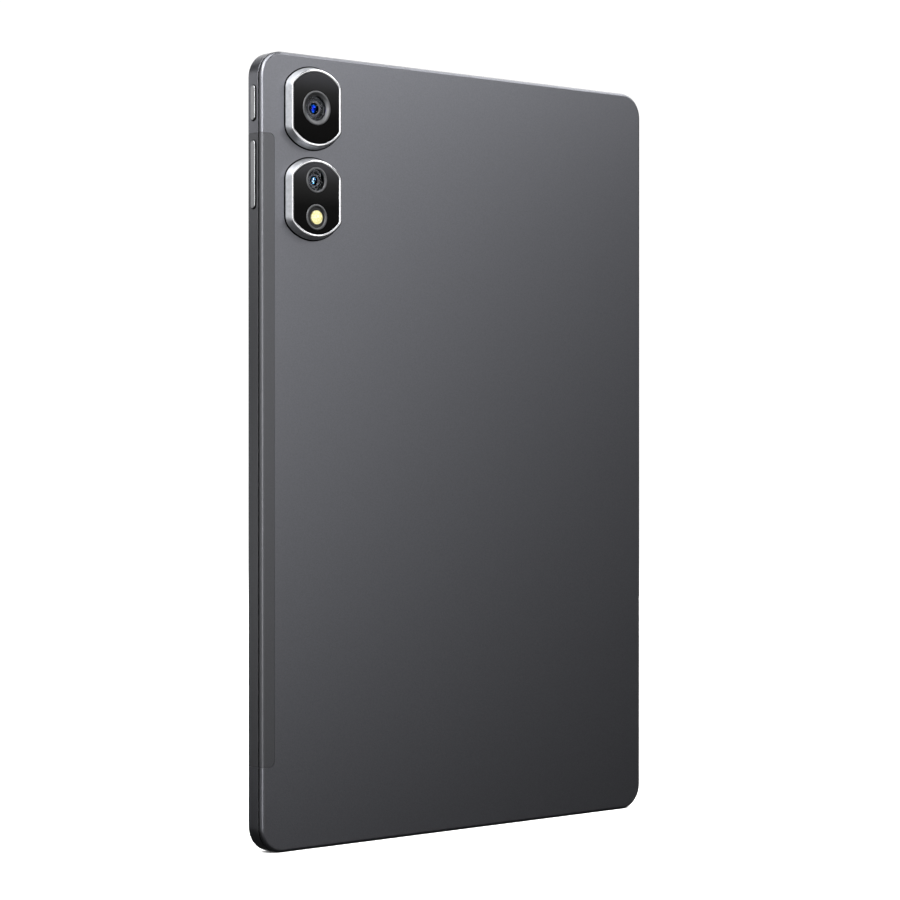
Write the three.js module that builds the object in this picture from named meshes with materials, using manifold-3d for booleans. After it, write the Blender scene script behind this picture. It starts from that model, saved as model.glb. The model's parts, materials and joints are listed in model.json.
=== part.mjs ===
// A tablet computer of the 11-inch class, standing upright on its short edge. Millimetres, +Z up.
// The screen faces -Y and the back, with its two camera islands, faces +Y. The keys are on the +X edge.
// The origin is on the bottom edge, at the middle of the body's width and of the whole thickness.
// A place through the thickness is a depth: 0 at the rear cover's outer face, growing towards the screen.
import * as THREE from "three";
import { mergeVertices } from "three/addons/utils/BufferGeometryUtils.js";
import Module from "manifold-3d";

const wasm = await Module();
wasm.setup();

// ---------------------------------------------------------------- driving dimensions

const WIDTH = 170;
const HEIGHT = 258;
const THICKNESS = 7.6; // cover glass to rear cover, without the camera islands
const CORNER = 8.5; // corner radius of the outline
const ISLAND_HEIGHT = 2.9; // how far the camera islands stand out of the rear cover
const SEAM = 0.08; // hairline between a plastic window and the metal round it
const FIT = 0.1; // clearance between neighbouring pieces that don't move
const PAST = 5; // how far a cutting tool runs past what it cuts

const BACK_Y = THICKNESS - (THICKNESS + ISLAND_HEIGHT) / 2; // centres the whole thickness on Y = 0
const EDGE_X = WIDTH / 2;
const MIDDLE_Z = HEIGHT / 2;
const EDGE_DEPTH = 4.3; // centre line of the keys, grilles and connector along the edges
const EDGE_Y = BACK_Y - EDGE_DEPTH;

// The two places that lie size apart round a centre.
const around = (centre, size) => [centre - size / 2, centre + size / 2];

// ---------------------------------------------------------------- case

const COVER = { plate: 0.8, rim: 1.25, rounding: 1.1, rimWidth: 1.9 };
const FRAME = { neck: 1.3, band: 1.95, ledge: 6.65, front: 7.25, wall: 2.6, lip: 0.9, softening: 0.3 };
const NECK_INSET = 0.7; // depth of the groove between the cover and the frame's band
const WINDOW = { bottom: 27.8, top: 231.4, reach: 5.2, corner: 2, frameDepth: 1.4 }; // plastic, on the +X edge

// ---------------------------------------------------------------- camera islands

// Circles with two flat sides. halfWidth and radius are those of the rim, at the top of the tapered wall.
const ISLAND = { x: 64.8, halfWidth: 10.05, radius: 12.5, corner: 2.8, taper: 0.9, rim: 0.85, gap: 0.3 };
const BEZEL = { flange: 1.6, throat: 1.85 };
const MAIN_Z = 240.45;
const LOWER_ISLAND_Z = 211.1;
const LOWER_SPACING = 6; // second camera and flash, above and below the lower island's centre
const SECOND_Z = LOWER_ISLAND_Z + LOWER_SPACING;
const FLASH_Z = LOWER_ISLAND_Z - LOWER_SPACING;
const PLATE = { from: 0.15 - ISLAND_HEIGHT, to: 1.15 - ISLAND_HEIGHT }; // the black plate in each bezel
const RING = { proud: 0.12, dish: 0.35, lip: 0.45, chamfer: 0.1 };
const LENS_COVER = { from: PLATE.from + 0.45, to: PLATE.from + 0.9 };
const MAIN_LENS = { ringOuter: 5.6, ringInner: 4.05, barrel: 3.6, pupil: 1.85, body: 10.5, collar: 0.5 };
const SECOND_LENS = { ringOuter: 4.2, ringInner: 3.45, barrel: 2.8, pupil: 1.45, body: 7.6, collar: 0.3 };
const FLASH = { ringOuter: 4.2, ringInner: 3.45, lens: 2.4, base: 5, emitter: 1.6, back: 1.9 };
const FOCUS_TRAVEL = 0.3;
const BARREL = { top: LENS_COVER.to + FIT + FOCUS_TRAVEL, bottom: 2.6, bore: 2.9, clearance: 0.12 };
const CAMERA = { back: 4.3, shoulder: 0.6, collarWall: 0.9 };
const RIBBON = { depth: [1.95, 2.12], width: 5, turn: 51, end: 46, highest: 224 }; // camera ribbons
const FLASH_RIBBON = { depth: [1.75, 1.9], width: 3 };

// ---------------------------------------------------------------- keys, connector, speakers and card tray

const KEY = { width: 2.6, proud: 0.5, clearance: 0.15, flange: 1, flangeX: [81.5, 82] };
const POWER_KEY = { z: 241.1, length: 11.3 };
const VOLUME_KEY = { z: 218.1, length: 21.9, reach: 7 }; // reach: from the pivot to each switch
const SWITCH = { x: [79.6, 80.85], size: 3.2, bore: 1.9, boreFrom: 79.9 };
const PLUNGER = { x: [80.3, 81.4], size: 1.6 };
const SWITCH_Z = [POWER_KEY.z, VOLUME_KEY.z + VOLUME_KEY.reach, VOLUME_KEY.z - VOLUME_KEY.reach];
const KEY_FLEX = { x: [79.5, 79.7], z: [206, 246.5] };
const KEY_BRACKET = { x: [79.1, 79.4], depth: [2.6, 5.7], z: KEY_FLEX.z };

const USB = { width: 8.94, height: 3.26, z: [0.6, 8], wall: 0.25, back: 0.6 };
const TONGUE = { width: 6.65, height: 0.7, z: [1.8, 7.3] };
const MICROPHONE = { x: [10.4, 13.6], depth: [2.45, 3.37], z: [4.2, 6.6], hole: 0.9 };

const GRILLE = { x: 32, slots: 6, pitch: 4, length: 2.6, height: 1.2 };
const SPEAKER = { width: 30, height: 16, depth: [1, 4.25], edge: 5, corner: 1.5 };
const DIAPHRAGM = { width: 19, height: 9, corner: 4, sunk: 0.6, offset: 1.5 };
const PORT = { width: 22, depth: [3.2, 3.95], length: 2.2 };

const TRAY = { z: 214.05, depth: [3.3, 4.1], tail: -61.2, frameZ: [206.6, 219.2], wellZ: [207.6, 218.2] };
const TRAY_CAP = { length: 16.5, height: 1.8, thickness: 1.4 };
const TRAY_WELLS = [
  [-82, -71.4],
  [-70.4, -62.6],
];
const TRAY_CENTRE = (TRAY.depth[0] + TRAY.depth[1]) / 2;
const READER = { x: [-81.8, -56.2], depth: [3.05, 4.35], z: [205.2, 223.6], wall: 0.15 };
const LEVER = { x: -59, z: 216.8, arm: 4, end: 0.8, width: 1.2, pin: 0.45, clearance: 0.1 };
const ROD = { z: LEVER.z + LEVER.arm, width: 1, height: 0.6, behindCap: 0.8, gap: 0.2, pinHole: 1 };

// ---------------------------------------------------------------- screen, battery and boards

const GLASS = { from: 6.85, to: THICKNESS, inset: 1, rounding: 0.25 };
const PANEL = { from: 5.85, to: 6.75, width: 153, height: 241, corner: 2 };
const BACKLIGHT = { from: 4.85, to: 5.8, width: 152, height: 240 };
const MIDPLATE = { from: 4.45, to: 4.8 };
const FRONT_CAMERA = { x: 79.5, size: 5.2, depth: [3.4, 5.9], lens: 1.7, lensDepth: [5.8, 6.75] };
const DISPLAY_FLEX = { width: 22, sheet: 0.16, tail: 226, panelEnd: 249.7, bend: 252.6, depth: [4.05, 6.3] };
const MIDPLATE_NOTCHES = [
  { x: [-6, 6], z: [0, 9.2] }, // connector
  { x: [78.3, 90], z: [204, 248.5] }, // keys
  { x: [76.7, 90], z: [125.8, 132.2] }, // front camera
  { x: [-13, 13], z: [250.2, 254] }, // screen ribbon
  { x: around(GRILLE.x, 26), z: [0, 4.6] },
  { x: around(-GRILLE.x, 26), z: [0, 4.6] },
  { x: around(GRILLE.x, 26), z: [HEIGHT - 4.6, HEIGHT] },
  { x: around(-GRILLE.x, 26), z: [HEIGHT - 4.6, HEIGHT] },
];

const CELL = { width: 67, height: 136, bottom: 32, gap: 12, from: 1.15, to: 4.3, corner: 1.5, rounding: 0.4 };
const BATTERY_BOARD = { x: [-34, 34], depth: [2.4, 3.1], z: [169, 174] };
const BATTERY_CHIP = { x: [-9, 9], depth: [1.9, 2.5], z: [169.5, 173.5] };
const BOARD = { x: [-80, 49], depth: [2.2, 3], z: [180, 234] };
const BATTERY_SOCKET = { x: [-3, 3], depth: [1.6, 2.3], z: [183, 186.5] };
const ANTENNA_SOCKET = { x: [18, 30], depth: [1.6, 2.3], z: [182, 185] };
const SHIELD = { depth: [1.05, 2.15], sheet: 0.2 };
const PROCESSOR = { x: [-48, -8], z: [190, 230] };
const RADIO = { x: [4, 40], z: [194, 226] };
const GRAPHITE = { x: -10, z: 165, width: 110, height: 130, corner: 3, from: 0.86, to: 0.98 };
const USB_BOARD = { x: [-15, 15], depth: [3.4, 4.2], z: [3, 24] };
const USB_NOTCH = { x: [-5, 5], z: [0, 8.8] };
const MAIN_FLEX = { x: [-4.5, 4.5], depth: [3.1, 3.3], z: [11, 189] };
const ANTENNA = { depth: [0.92, 1.08], x: [75.4, 81.6], tailX: [73.8, 76], tail: 8, tailEnd: 2 };
const CELLULAR_Z = [40, 118];
const WIFI_Z = [138, 186];
const SCREW = { head: 1.3, height: 0.5, chamfer: 0.4, shank: 0.65, length: 0.95, hole: 0.8 };
const BOARD_SCREWS = [
  [-75, 185],
  [-75, 229.5],
  [44, 229.5],
];
const CONNECTOR_SCREWS = [
  [-11.5, 20],
  [11.5, 20],
];

const ROUND = 24; // sides of a lens or ring
const SMALL_ROUND = 12; // sides of a pin or screw

// ---------------------------------------------------------------- solids

// A closed geometry as a manifold-3d solid.
function toSolid(geometry) {
  const bare = geometry.clone();
  bare.deleteAttribute("normal");
  bare.deleteAttribute("uv");
  const merged = mergeVertices(bare, 1e-4);
  return new wasm.Manifold(
    new wasm.Mesh({
      numProp: 3,
      vertProperties: merged.attributes.position.array,
      triVerts: new Uint32Array(merged.index.array),
    }),
  );
}

function toGeometry(solid) {
  const mesh = solid.getMesh();
  const geometry = new THREE.BufferGeometry();
  geometry.setAttribute("position", new THREE.BufferAttribute(new Float32Array(mesh.vertProperties), 3));
  geometry.setIndex(new THREE.BufferAttribute(new Uint32Array(mesh.triVerts), 1));
  geometry.computeVertexNormals();
  return geometry;
}

const cut = (body, ...tools) => toGeometry(tools.reduce((s, t) => s.subtract(toSolid(t)), toSolid(body)));
const join = (body, ...others) => toGeometry(others.reduce((s, t) => s.add(toSolid(t)), toSolid(body)));
const common = (a, b) => toGeometry(toSolid(a).intersect(toSolid(b)));

// ---------------------------------------------------------------- outlines

// A rectangle with round corners, centred on (x, y).
function roundedRectangle(width, height, radius, x = 0, y = 0) {
  const w = width / 2 - radius;
  const h = height / 2 - radius;
  const shape = new THREE.Shape();
  shape.absarc(x + w, y + h, radius, 0, Math.PI / 2);
  shape.absarc(x - w, y + h, radius, Math.PI / 2, Math.PI);
  shape.absarc(x - w, y - h, radius, Math.PI, 1.5 * Math.PI);
  shape.absarc(x + w, y - h, radius, 1.5 * Math.PI, 2 * Math.PI);
  shape.closePath();
  return shape;
}

// A rectangle whose shorter sides are half circles. The tiny allowance keeps its arcs' ends apart.
function pill(width, height, x, y) {
  const allowance = 0.01;
  return roundedRectangle(width, height, Math.min(width, height) / 2 - allowance, x, y);
}

// The tablet's outline in X and Z, moved inwards by inset.
const outline = (inset) =>
  roundedRectangle(WIDTH - 2 * inset, HEIGHT - 2 * inset, CORNER - inset, 0, MIDDLE_Z);

// A camera island's outline in X and Z, moved outwards from its rim by offset.
function islandShape(z, offset) {
  const half = ISLAND.halfWidth + offset;
  const radius = ISLAND.radius + offset;
  const corner = ISLAND.corner + offset;
  const dx = half - corner;
  const dz = Math.sqrt((radius - corner) ** 2 - dx ** 2);
  const turn = Math.atan2(dz, dx);
  const shape = new THREE.Shape();
  shape.absarc(ISLAND.x + dx, z + dz, corner, 0, turn);
  shape.absarc(ISLAND.x, z, radius, turn, Math.PI - turn);
  shape.absarc(ISLAND.x - dx, z + dz, corner, Math.PI - turn, Math.PI);
  shape.absarc(ISLAND.x - dx, z - dz, corner, Math.PI, Math.PI + turn);
  shape.absarc(ISLAND.x, z, radius, Math.PI + turn, 2 * Math.PI - turn);
  shape.absarc(ISLAND.x + dx, z - dz, corner, -turn, 0);
  shape.closePath();
  return shape;
}

// ---------------------------------------------------------------- building blocks

// Extrudes an outline drawn in X and Z from one depth to a deeper one. A bevel softens both ends.
function slab(shape, from, to, { rounding = 0, steps = 1, curveSegments = 5 } = {}) {
  const geometry = new THREE.ExtrudeGeometry(shape, {
    depth: to - from - 2 * rounding,
    bevelEnabled: rounding > 0,
    bevelThickness: rounding,
    bevelSize: rounding,
    bevelOffset: -rounding,
    bevelSegments: steps,
    curveSegments,
  });
  geometry.translate(0, 0, rounding);
  geometry.rotateX(Math.PI / 2);
  geometry.translate(0, BACK_Y - from, 0);
  return geometry;
}

// A box given by its two places along X, its two depths and its two places along Z.
function block({ x, depth, z }) {
  const geometry = new THREE.BoxGeometry(x[1] - x[0], depth[1] - depth[0], z[1] - z[0]);
  geometry.translate((x[0] + x[1]) / 2, BACK_Y - (depth[0] + depth[1]) / 2, (z[0] + z[1]) / 2);
  return geometry;
}

// A box that cuts right through the thickness.
const throughBlock = ({ x, z }) => block({ x, depth: [-PAST, THICKNESS + PAST], z });

// Extrudes an outline drawn in Y and Z along X.
function alongX(shape, [x0, x1], curveSegments = 4) {
  const geometry = new THREE.ExtrudeGeometry(shape, { depth: x1 - x0, bevelEnabled: false, curveSegments });
  const turn = new THREE.Matrix4().makeBasis(
    new THREE.Vector3(0, 1, 0),
    new THREE.Vector3(0, 0, 1),
    new THREE.Vector3(1, 0, 0),
  );
  geometry.applyMatrix4(turn);
  geometry.translate(x0, 0, 0);
  return geometry;
}

// Extrudes an outline drawn in X and Y along Z.
function alongZ(shape, [z0, z1], curveSegments = 2) {
  const geometry = new THREE.ExtrudeGeometry(shape, { depth: z1 - z0, bevelEnabled: false, curveSegments });
  geometry.translate(0, 0, z0);
  return geometry;
}

// A disc between two depths.
function disc(x, z, radius, [from, to], sides = ROUND) {
  const geometry = new THREE.CylinderGeometry(radius, radius, to - from, sides);
  geometry.translate(x, BACK_Y - (from + to) / 2, z);
  return geometry;
}

// A round hole right through the thickness.
const hole = (x, z, radius, sides) => disc(x, z, radius, [-PAST, THICKNESS + PAST], sides);

// Turns a profile of [radius, depth] points, from the back towards the screen, about the Y axis at (x, z).
function turned(x, z, profile, sides = ROUND) {
  const points = profile.map(([radius, depth]) => new THREE.Vector2(radius, BACK_Y - depth)).reverse();
  const geometry = new THREE.LatheGeometry(points, sides);
  geometry.translate(x, 0, z);
  return geometry;
}

// ---------------------------------------------------------------- materials

const finish = (color, roughness, metalness) => new THREE.MeshStandardMaterial({ color, roughness, metalness });
const shellMetal = () => finish(0x5d5e61, 0.42, 0.9);
const windowPlastic = () => finish(0x4a4b4e, 0.5, 0.1);
const bezelMetal = () => finish(0xc9cacc, 0.15, 1);
const blackGlass = () => finish(0x101113, 0.08, 0);
const ringMetal = () => finish(0x55575a, 0.3, 0.9);
const lensGlass = () => finish(0x1a2a55, 0.05, 0);
const dullBlack = () => finish(0x0c0c0d, 0.5, 0);
const phosphor = () => finish(0xe6d98a, 0.35, 0);
const screenGlass = () => finish(0x08090a, 0.06, 0);
const panelFilm = () => finish(0x14161a, 0.3, 0);
const reflector = () => finish(0xd8dadc, 0.4, 0.2);
const foamTape = () => finish(0x1c1c1c, 0.8, 0);
const cellFoil = () => finish(0x2a2b2e, 0.45, 0.3);
const greenBoard = () => finish(0x12352a, 0.5, 0);
const tinnedSheet = () => finish(0xb8babd, 0.35, 1);
const steel = () => finish(0x9a9c9f, 0.3, 1);
const amberFilm = () => finish(0xa0622a, 0.45, 0);
const blackPlastic = () => finish(0x18191a, 0.6, 0);
const graphiteFilm = () => finish(0x33353a, 0.5, 0.4);

const tablet = new THREE.Group();

function add(name, geometry, material) {
  const mesh = new THREE.Mesh(geometry, material);
  mesh.name = name;
  tablet.add(mesh);
}

// ---------------------------------------------------------------- rear cover and its antenna window

// The cover as if it were one piece of metal: a plate with a round edge and a rim below it.
function wholeCover() {
  const { rounding } = COVER;
  const rounded = slab(outline(0), 0, 4 * rounding, { rounding, steps: 3, curveSegments: 6 });
  const belowRim = slab(outline(-PAST), COVER.rim, THICKNESS);
  const pocket = slab(outline(COVER.rimWidth), COVER.plate, THICKNESS);
  return cut(rounded, belowRim, pocket);
}

// The window's strip as a prism through the cover, made smaller on every side by inset.
// Half of it lies past the edge.
function windowStrip(inset) {
  const shape = roundedRectangle(
    2 * WINDOW.reach - 2 * inset,
    WINDOW.top - WINDOW.bottom - 2 * inset,
    WINDOW.corner,
    EDGE_X,
    (WINDOW.top + WINDOW.bottom) / 2,
  );
  return slab(shape, -PAST, THICKNESS);
}

const islandHole = (z) => slab(islandShape(z, ISLAND.taper + ISLAND.gap), -PAST, THICKNESS);

const cover = wholeCover();
add("rear_cover", cut(cover, windowStrip(0), islandHole(MAIN_Z), islandHole(LOWER_ISLAND_Z)), shellMetal());
add("rear_antenna_window", common(cover, windowStrip(SEAM)), windowPlastic());

// ---------------------------------------------------------------- side frame and its antenna window

// The frame as if it were one piece: a flat band, a set-back neck under the cover and a ledge for the glass.
function wholeFrame() {
  const band = slab(outline(0), FRAME.band, FRAME.front, { rounding: FRAME.softening, curveSegments: 6 });
  const neck = slab(outline(NECK_INSET), FRAME.neck, FRAME.band + 1);
  const inside = slab(outline(FRAME.wall), 0, 2 * THICKNESS);
  const glassSeat = slab(outline(FRAME.lip), FRAME.ledge, 2 * THICKNESS);
  return cut(join(band, neck), inside, glassSeat);
}

// The part of the band that is plastic, made smaller at its ends and inner side by inset.
function frameStrip(inset) {
  return block({
    x: [EDGE_X - WINDOW.frameDepth + inset, EDGE_X + PAST],
    depth: [FRAME.band - FIT, FRAME.front + FIT],
    z: [WINDOW.bottom + inset, WINDOW.top - inset],
  });
}

function keySlot(key) {
  const shape = pill(KEY.width + 2 * KEY.clearance, key.length + 2 * KEY.clearance, EDGE_Y, key.z);
  return alongX(shape, [EDGE_X - PAST, EDGE_X + PAST]);
}

// The row of slots in front of one speaker, through the bottom (side -1) or the top (side 1) of the frame.
function grilleSlots(x, side) {
  const edge = side < 0 ? 0 : HEIGHT;
  return Array.from({ length: GRILLE.slots }, (_, i) => {
    const slotX = x + (i - (GRILLE.slots - 1) / 2) * GRILLE.pitch;
    return alongZ(pill(GRILLE.length, GRILLE.height, slotX, EDGE_Y), [edge - PAST, edge + PAST]);
  });
}

function sideFrame(frame) {
  const connector = alongZ(pill(USB.width + 2 * FIT, USB.height + 2 * FIT, 0, EDGE_Y), [-PAST, PAST], 8);
  const trayY = BACK_Y - TRAY_CENTRE;
  const traySlot = alongX(pill(TRAY_CAP.height + 2 * FIT, TRAY_CAP.length + 2 * FIT, trayY, TRAY.z), [
    -EDGE_X - PAST,
    -EDGE_X + PAST,
  ]);
  const microphoneX = (MICROPHONE.x[0] + MICROPHONE.x[1]) / 2;
  const microphoneHole = alongZ(pill(MICROPHONE.hole, MICROPHONE.hole, microphoneX, EDGE_Y), [-PAST, PAST]);
  const grilles = [-1, 1].flatMap((side) => [-GRILLE.x, GRILLE.x].flatMap((x) => grilleSlots(x, side)));
  const keySlots = [keySlot(POWER_KEY), keySlot(VOLUME_KEY)];
  return cut(frame, frameStrip(0), ...keySlots, connector, traySlot, microphoneHole, ...grilles);
}

const frame = wholeFrame();
add("side_frame", sideFrame(frame), shellMetal());
add("frame_antenna_window", cut(common(frame, frameStrip(SEAM)), keySlot(VOLUME_KEY)), windowPlastic());

// ---------------------------------------------------------------- camera islands

// A tapered metal ring through the cover, with a flange behind it and a seat for the black plate.
function bezel(z) {
  const flangeFrom = COVER.plate + FIT;
  const wall = new THREE.ExtrudeGeometry(islandShape(z, 0), {
    depth: COVER.rim - ISLAND.gap,
    bevelEnabled: true,
    bevelThickness: ISLAND_HEIGHT,
    bevelSize: ISLAND.taper,
    bevelOffset: 0,
    bevelSegments: 1,
    curveSegments: 5,
  });
  wall.rotateX(Math.PI / 2);
  wall.translate(0, BACK_Y, 0);
  const below = slab(outline(0), COVER.rim - FIT, 2 * THICKNESS);
  const flange = slab(islandShape(z, BEZEL.flange), flangeFrom, COVER.rim);
  const seat = slab(islandShape(z, -ISLAND.rim), -ISLAND_HEIGHT - PAST, PLATE.to);
  const throat = slab(islandShape(z, -BEZEL.throat), -ISLAND_HEIGHT, THICKNESS);
  return cut(join(cut(wall, below), flange), seat, throat);
}

// The black plate in a bezel, with a round hole for each [z, radius].
function islandPlate(z, rings) {
  const plate = slab(islandShape(z, -ISLAND.rim - FIT / 2), PLATE.from, PLATE.to - FIT / 2);
  return cut(plate, ...rings.map(([ringZ, radius]) => hole(ISLAND.x, ringZ, radius + FIT / 2)));
}

// A dished ring round a lens, standing a hair out of the black plate.
function lensRing(z, { ringOuter, ringInner }) {
  const inside = ringInner + RING.chamfer;
  return turned(ISLAND.x, z, [
    [inside, PLATE.from + RING.dish],
    [ringOuter - RING.dish, PLATE.from - RING.proud],
    [ringOuter, PLATE.from],
    [ringOuter, PLATE.to - FIT],
    [ringInner, PLATE.to - FIT],
    [ringInner, PLATE.from + RING.lip],
    [inside, PLATE.from + RING.dish],
  ]);
}

const lensCover = (z, lens) => disc(ISLAND.x, z, lens.ringInner - FIT / 2, [LENS_COVER.from, LENS_COVER.to]);

add("main_camera_bezel", bezel(MAIN_Z), bezelMetal());
add("main_camera_window", islandPlate(MAIN_Z, [[MAIN_Z, MAIN_LENS.ringOuter]]), blackGlass());
add("main_lens_ring", lensRing(MAIN_Z, MAIN_LENS), ringMetal());
add("main_lens_cover", lensCover(MAIN_Z, MAIN_LENS), lensGlass());
add("second_camera_bezel", bezel(LOWER_ISLAND_Z), bezelMetal());
add(
  "second_camera_window",
  islandPlate(LOWER_ISLAND_Z, [
    [SECOND_Z, SECOND_LENS.ringOuter],
    [FLASH_Z, FLASH.ringOuter],
  ]),
  blackGlass(),
);
add("second_lens_ring", lensRing(SECOND_Z, SECOND_LENS), ringMetal());
add("second_lens_cover", lensCover(SECOND_Z, SECOND_LENS), lensGlass());
add("flash_ring", lensRing(FLASH_Z, FLASH), ringMetal());

// ---------------------------------------------------------------- cameras and flash

// A ribbon from a camera, out to the side and down to the main board.
function ribbon(z) {
  const endZ = Math.min(z, RIBBON.highest);
  const turnX = [RIBBON.turn, RIBBON.turn + RIBBON.width];
  const endRun = around(endZ, RIBBON.width);
  const startRun = around(z, RIBBON.width);
  return [
    block({ x: [RIBBON.turn, ISLAND.x], depth: RIBBON.depth, z: startRun }),
    block({ x: turnX, depth: RIBBON.depth, z: [endRun[0], startRun[1]] }),
    block({ x: [RIBBON.end, turnX[1]], depth: RIBBON.depth, z: endRun }),
  ];
}

// The square module of a camera, with a collar and a bore for its barrel and a ribbon to the main board.
function cameraBody(z, lens) {
  const top = BARREL.top + lens.collar;
  const housing = block({
    x: around(ISLAND.x, lens.body),
    depth: [top + CAMERA.shoulder, CAMERA.back],
    z: around(z, lens.body),
  });
  const collar = disc(ISLAND.x, z, lens.barrel + CAMERA.collarWall, [top, top + 1]);
  const bore = disc(ISLAND.x, z, lens.barrel + BARREL.clearance, [-PAST, BARREL.bore]);
  return cut(join(housing, collar, ...ribbon(z)), bore);
}

// A lens barrel: a rim and a stepped cone round a shallow front element.
function barrel(z, { barrel: radius, pupil }) {
  return turned(ISLAND.x, z, [
    [0, BARREL.top + 0.22],
    [pupil * 0.55, BARREL.top + 0.28],
    [pupil, BARREL.top + 0.5],
    [pupil + 0.1, BARREL.top + 0.35],
    [pupil + 0.65, BARREL.top + 0.35],
    [pupil + 0.95, BARREL.top],
    [radius, BARREL.top],
    [radius, BARREL.bottom],
    [0, BARREL.bottom],
  ]);
}

// The clear lens that fills the flash ring, with a low dome over the light.
function flashLens() {
  const rim = FLASH.ringInner - FIT / 2;
  return turned(ISLAND.x, FLASH_Z, [
    [0, PLATE.from + 0.1],
    [FLASH.lens * 0.7, PLATE.from + 0.2],
    [FLASH.lens, PLATE.from + RING.lip],
    [rim, PLATE.from + 0.5],
    [rim, PLATE.to],
    [0, PLATE.to],
  ]);
}

function flashLed() {
  const base = block({
    x: around(ISLAND.x, FLASH.base),
    depth: [PLATE.to + 6 * FIT, FLASH.back],
    z: around(FLASH_Z, FLASH.base),
  });
  const emitter = disc(ISLAND.x, FLASH_Z, FLASH.emitter, [PLATE.to + FIT, PLATE.to + 1]);
  const tail = block({
    x: [RIBBON.end, ISLAND.x],
    depth: FLASH_RIBBON.depth,
    z: around(FLASH_Z, FLASH_RIBBON.width),
  });
  return join(base, emitter, tail);
}

add("main_camera_body", cameraBody(MAIN_Z, MAIN_LENS), blackPlastic());
add("main_camera_barrel", barrel(MAIN_Z, MAIN_LENS), dullBlack());
add("second_camera_body", cameraBody(SECOND_Z, SECOND_LENS), blackPlastic());
add("second_camera_barrel", barrel(SECOND_Z, SECOND_LENS), dullBlack());
add("flash_lens", flashLens(), phosphor());
add("flash_led", flashLed(), phosphor());

// ---------------------------------------------------------------- keys

// A round-ended key cap with a flange that keeps it from falling out.
function keyCap(key) {
  const cap = alongX(pill(KEY.width, key.length, EDGE_Y, key.z), [KEY.flangeX[1] - FIT, EDGE_X + KEY.proud]);
  const flange = roundedRectangle(KEY.width + KEY.flange, key.length + 2 * KEY.flange, FIT, EDGE_Y, key.z);
  return join(cap, alongX(flange, KEY.flangeX, 1));
}

// The moving button of a switch, in the bore of its housing.
function plunger(z) {
  return block({ x: PLUNGER.x, depth: around(EDGE_DEPTH, PLUNGER.size), z: around(z, PLUNGER.size) });
}

// One ribbon with the three switch housings soldered to it.
function keyFlex() {
  const strip = block({ x: KEY_FLEX.x, depth: around(EDGE_DEPTH, SWITCH.size), z: KEY_FLEX.z });
  const housings = SWITCH_Z.map((z) =>
    block({ x: SWITCH.x, depth: around(EDGE_DEPTH, SWITCH.size), z: around(z, SWITCH.size) }),
  );
  const bores = SWITCH_Z.map((z) =>
    block({ x: [SWITCH.boreFrom, EDGE_X], depth: around(EDGE_DEPTH, SWITCH.bore), z: around(z, SWITCH.bore) }),
  );
  return cut(join(strip, ...housings), ...bores);
}

add("power_key", keyCap(POWER_KEY), shellMetal());
add("volume_key", keyCap(VOLUME_KEY), shellMetal());
add("key_flex", keyFlex(), amberFilm());
add("key_bracket", block(KEY_BRACKET), steel());
["power_switch_plunger", "volume_up_plunger", "volume_down_plunger"].forEach((name, i) =>
  add(name, plunger(SWITCH_Z[i]), blackPlastic()),
);

// ---------------------------------------------------------------- card tray, reader and ejector

// The drawer with its cap, two card wells and a hole for the eject pin.
function cardTray() {
  const y = BACK_Y - TRAY_CENTRE;
  const capEnd = -EDGE_X + TRAY_CAP.thickness;
  const cap = alongX(pill(TRAY_CAP.height, TRAY_CAP.length, y, TRAY.z), [-EDGE_X, capEnd]);
  const drawer = block({ x: [capEnd - FIT, TRAY.tail], depth: TRAY.depth, z: TRAY.frameZ });
  const wells = TRAY_WELLS.map((x) => throughBlock({ x, z: TRAY.wellZ }));
  const pinHole = alongX(pill(ROD.pinHole, ROD.pinHole, y, ROD.z), [-EDGE_X - PAST, capEnd + PAST], 3);
  return cut(join(cap, drawer), ...wells, pinHole);
}

// A folded steel shell, open towards the edge, with the lever's pivot pin in it.
function cardReader() {
  const { x, depth, z, wall } = READER;
  const room = block({
    x: [x[0] - PAST, x[1] - wall],
    depth: [depth[0] + wall, depth[1] - wall],
    z: [z[0] + wall, z[1] - wall],
  });
  const pin = disc(LEVER.x, LEVER.z, LEVER.pin, [depth[0] + wall / 2, depth[1] - wall / 2], SMALL_ROUND);
  return join(cut(block(READER), room), pin);
}

function ejectLever() {
  const bar = block({
    x: around(LEVER.x, LEVER.width),
    depth: [TRAY.depth[0] + LEVER.clearance, TRAY.depth[1] - LEVER.clearance],
    z: around(LEVER.z, 2 * (LEVER.arm + LEVER.end)),
  });
  return cut(bar, hole(LEVER.x, LEVER.z, LEVER.pin + LEVER.clearance, SMALL_ROUND));
}

function ejectRod() {
  return block({
    x: [-EDGE_X + TRAY_CAP.thickness + ROD.behindCap, LEVER.x - LEVER.width / 2 - ROD.gap],
    depth: around(TRAY_CENTRE, ROD.height),
    z: around(ROD.z, ROD.width),
  });
}

add("card_tray", cardTray(), shellMetal());
add("card_reader", cardReader(), tinnedSheet());
add("eject_lever", ejectLever(), steel());
add("eject_rod", ejectRod(), steel());

// ---------------------------------------------------------------- screen

const screenShape = ({ width, height }) => roundedRectangle(width, height, PANEL.corner, 0, MIDDLE_Z);

// The foam tape between the frame's ledge and the glass.
function displayAdhesive() {
  const play = FIT / 5;
  const tape = slab(outline(FRAME.lip + FIT), FRAME.ledge + play, GLASS.from - play);
  return cut(tape, slab(outline(FRAME.wall - FIT), 0, 2 * THICKNESS));
}

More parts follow.
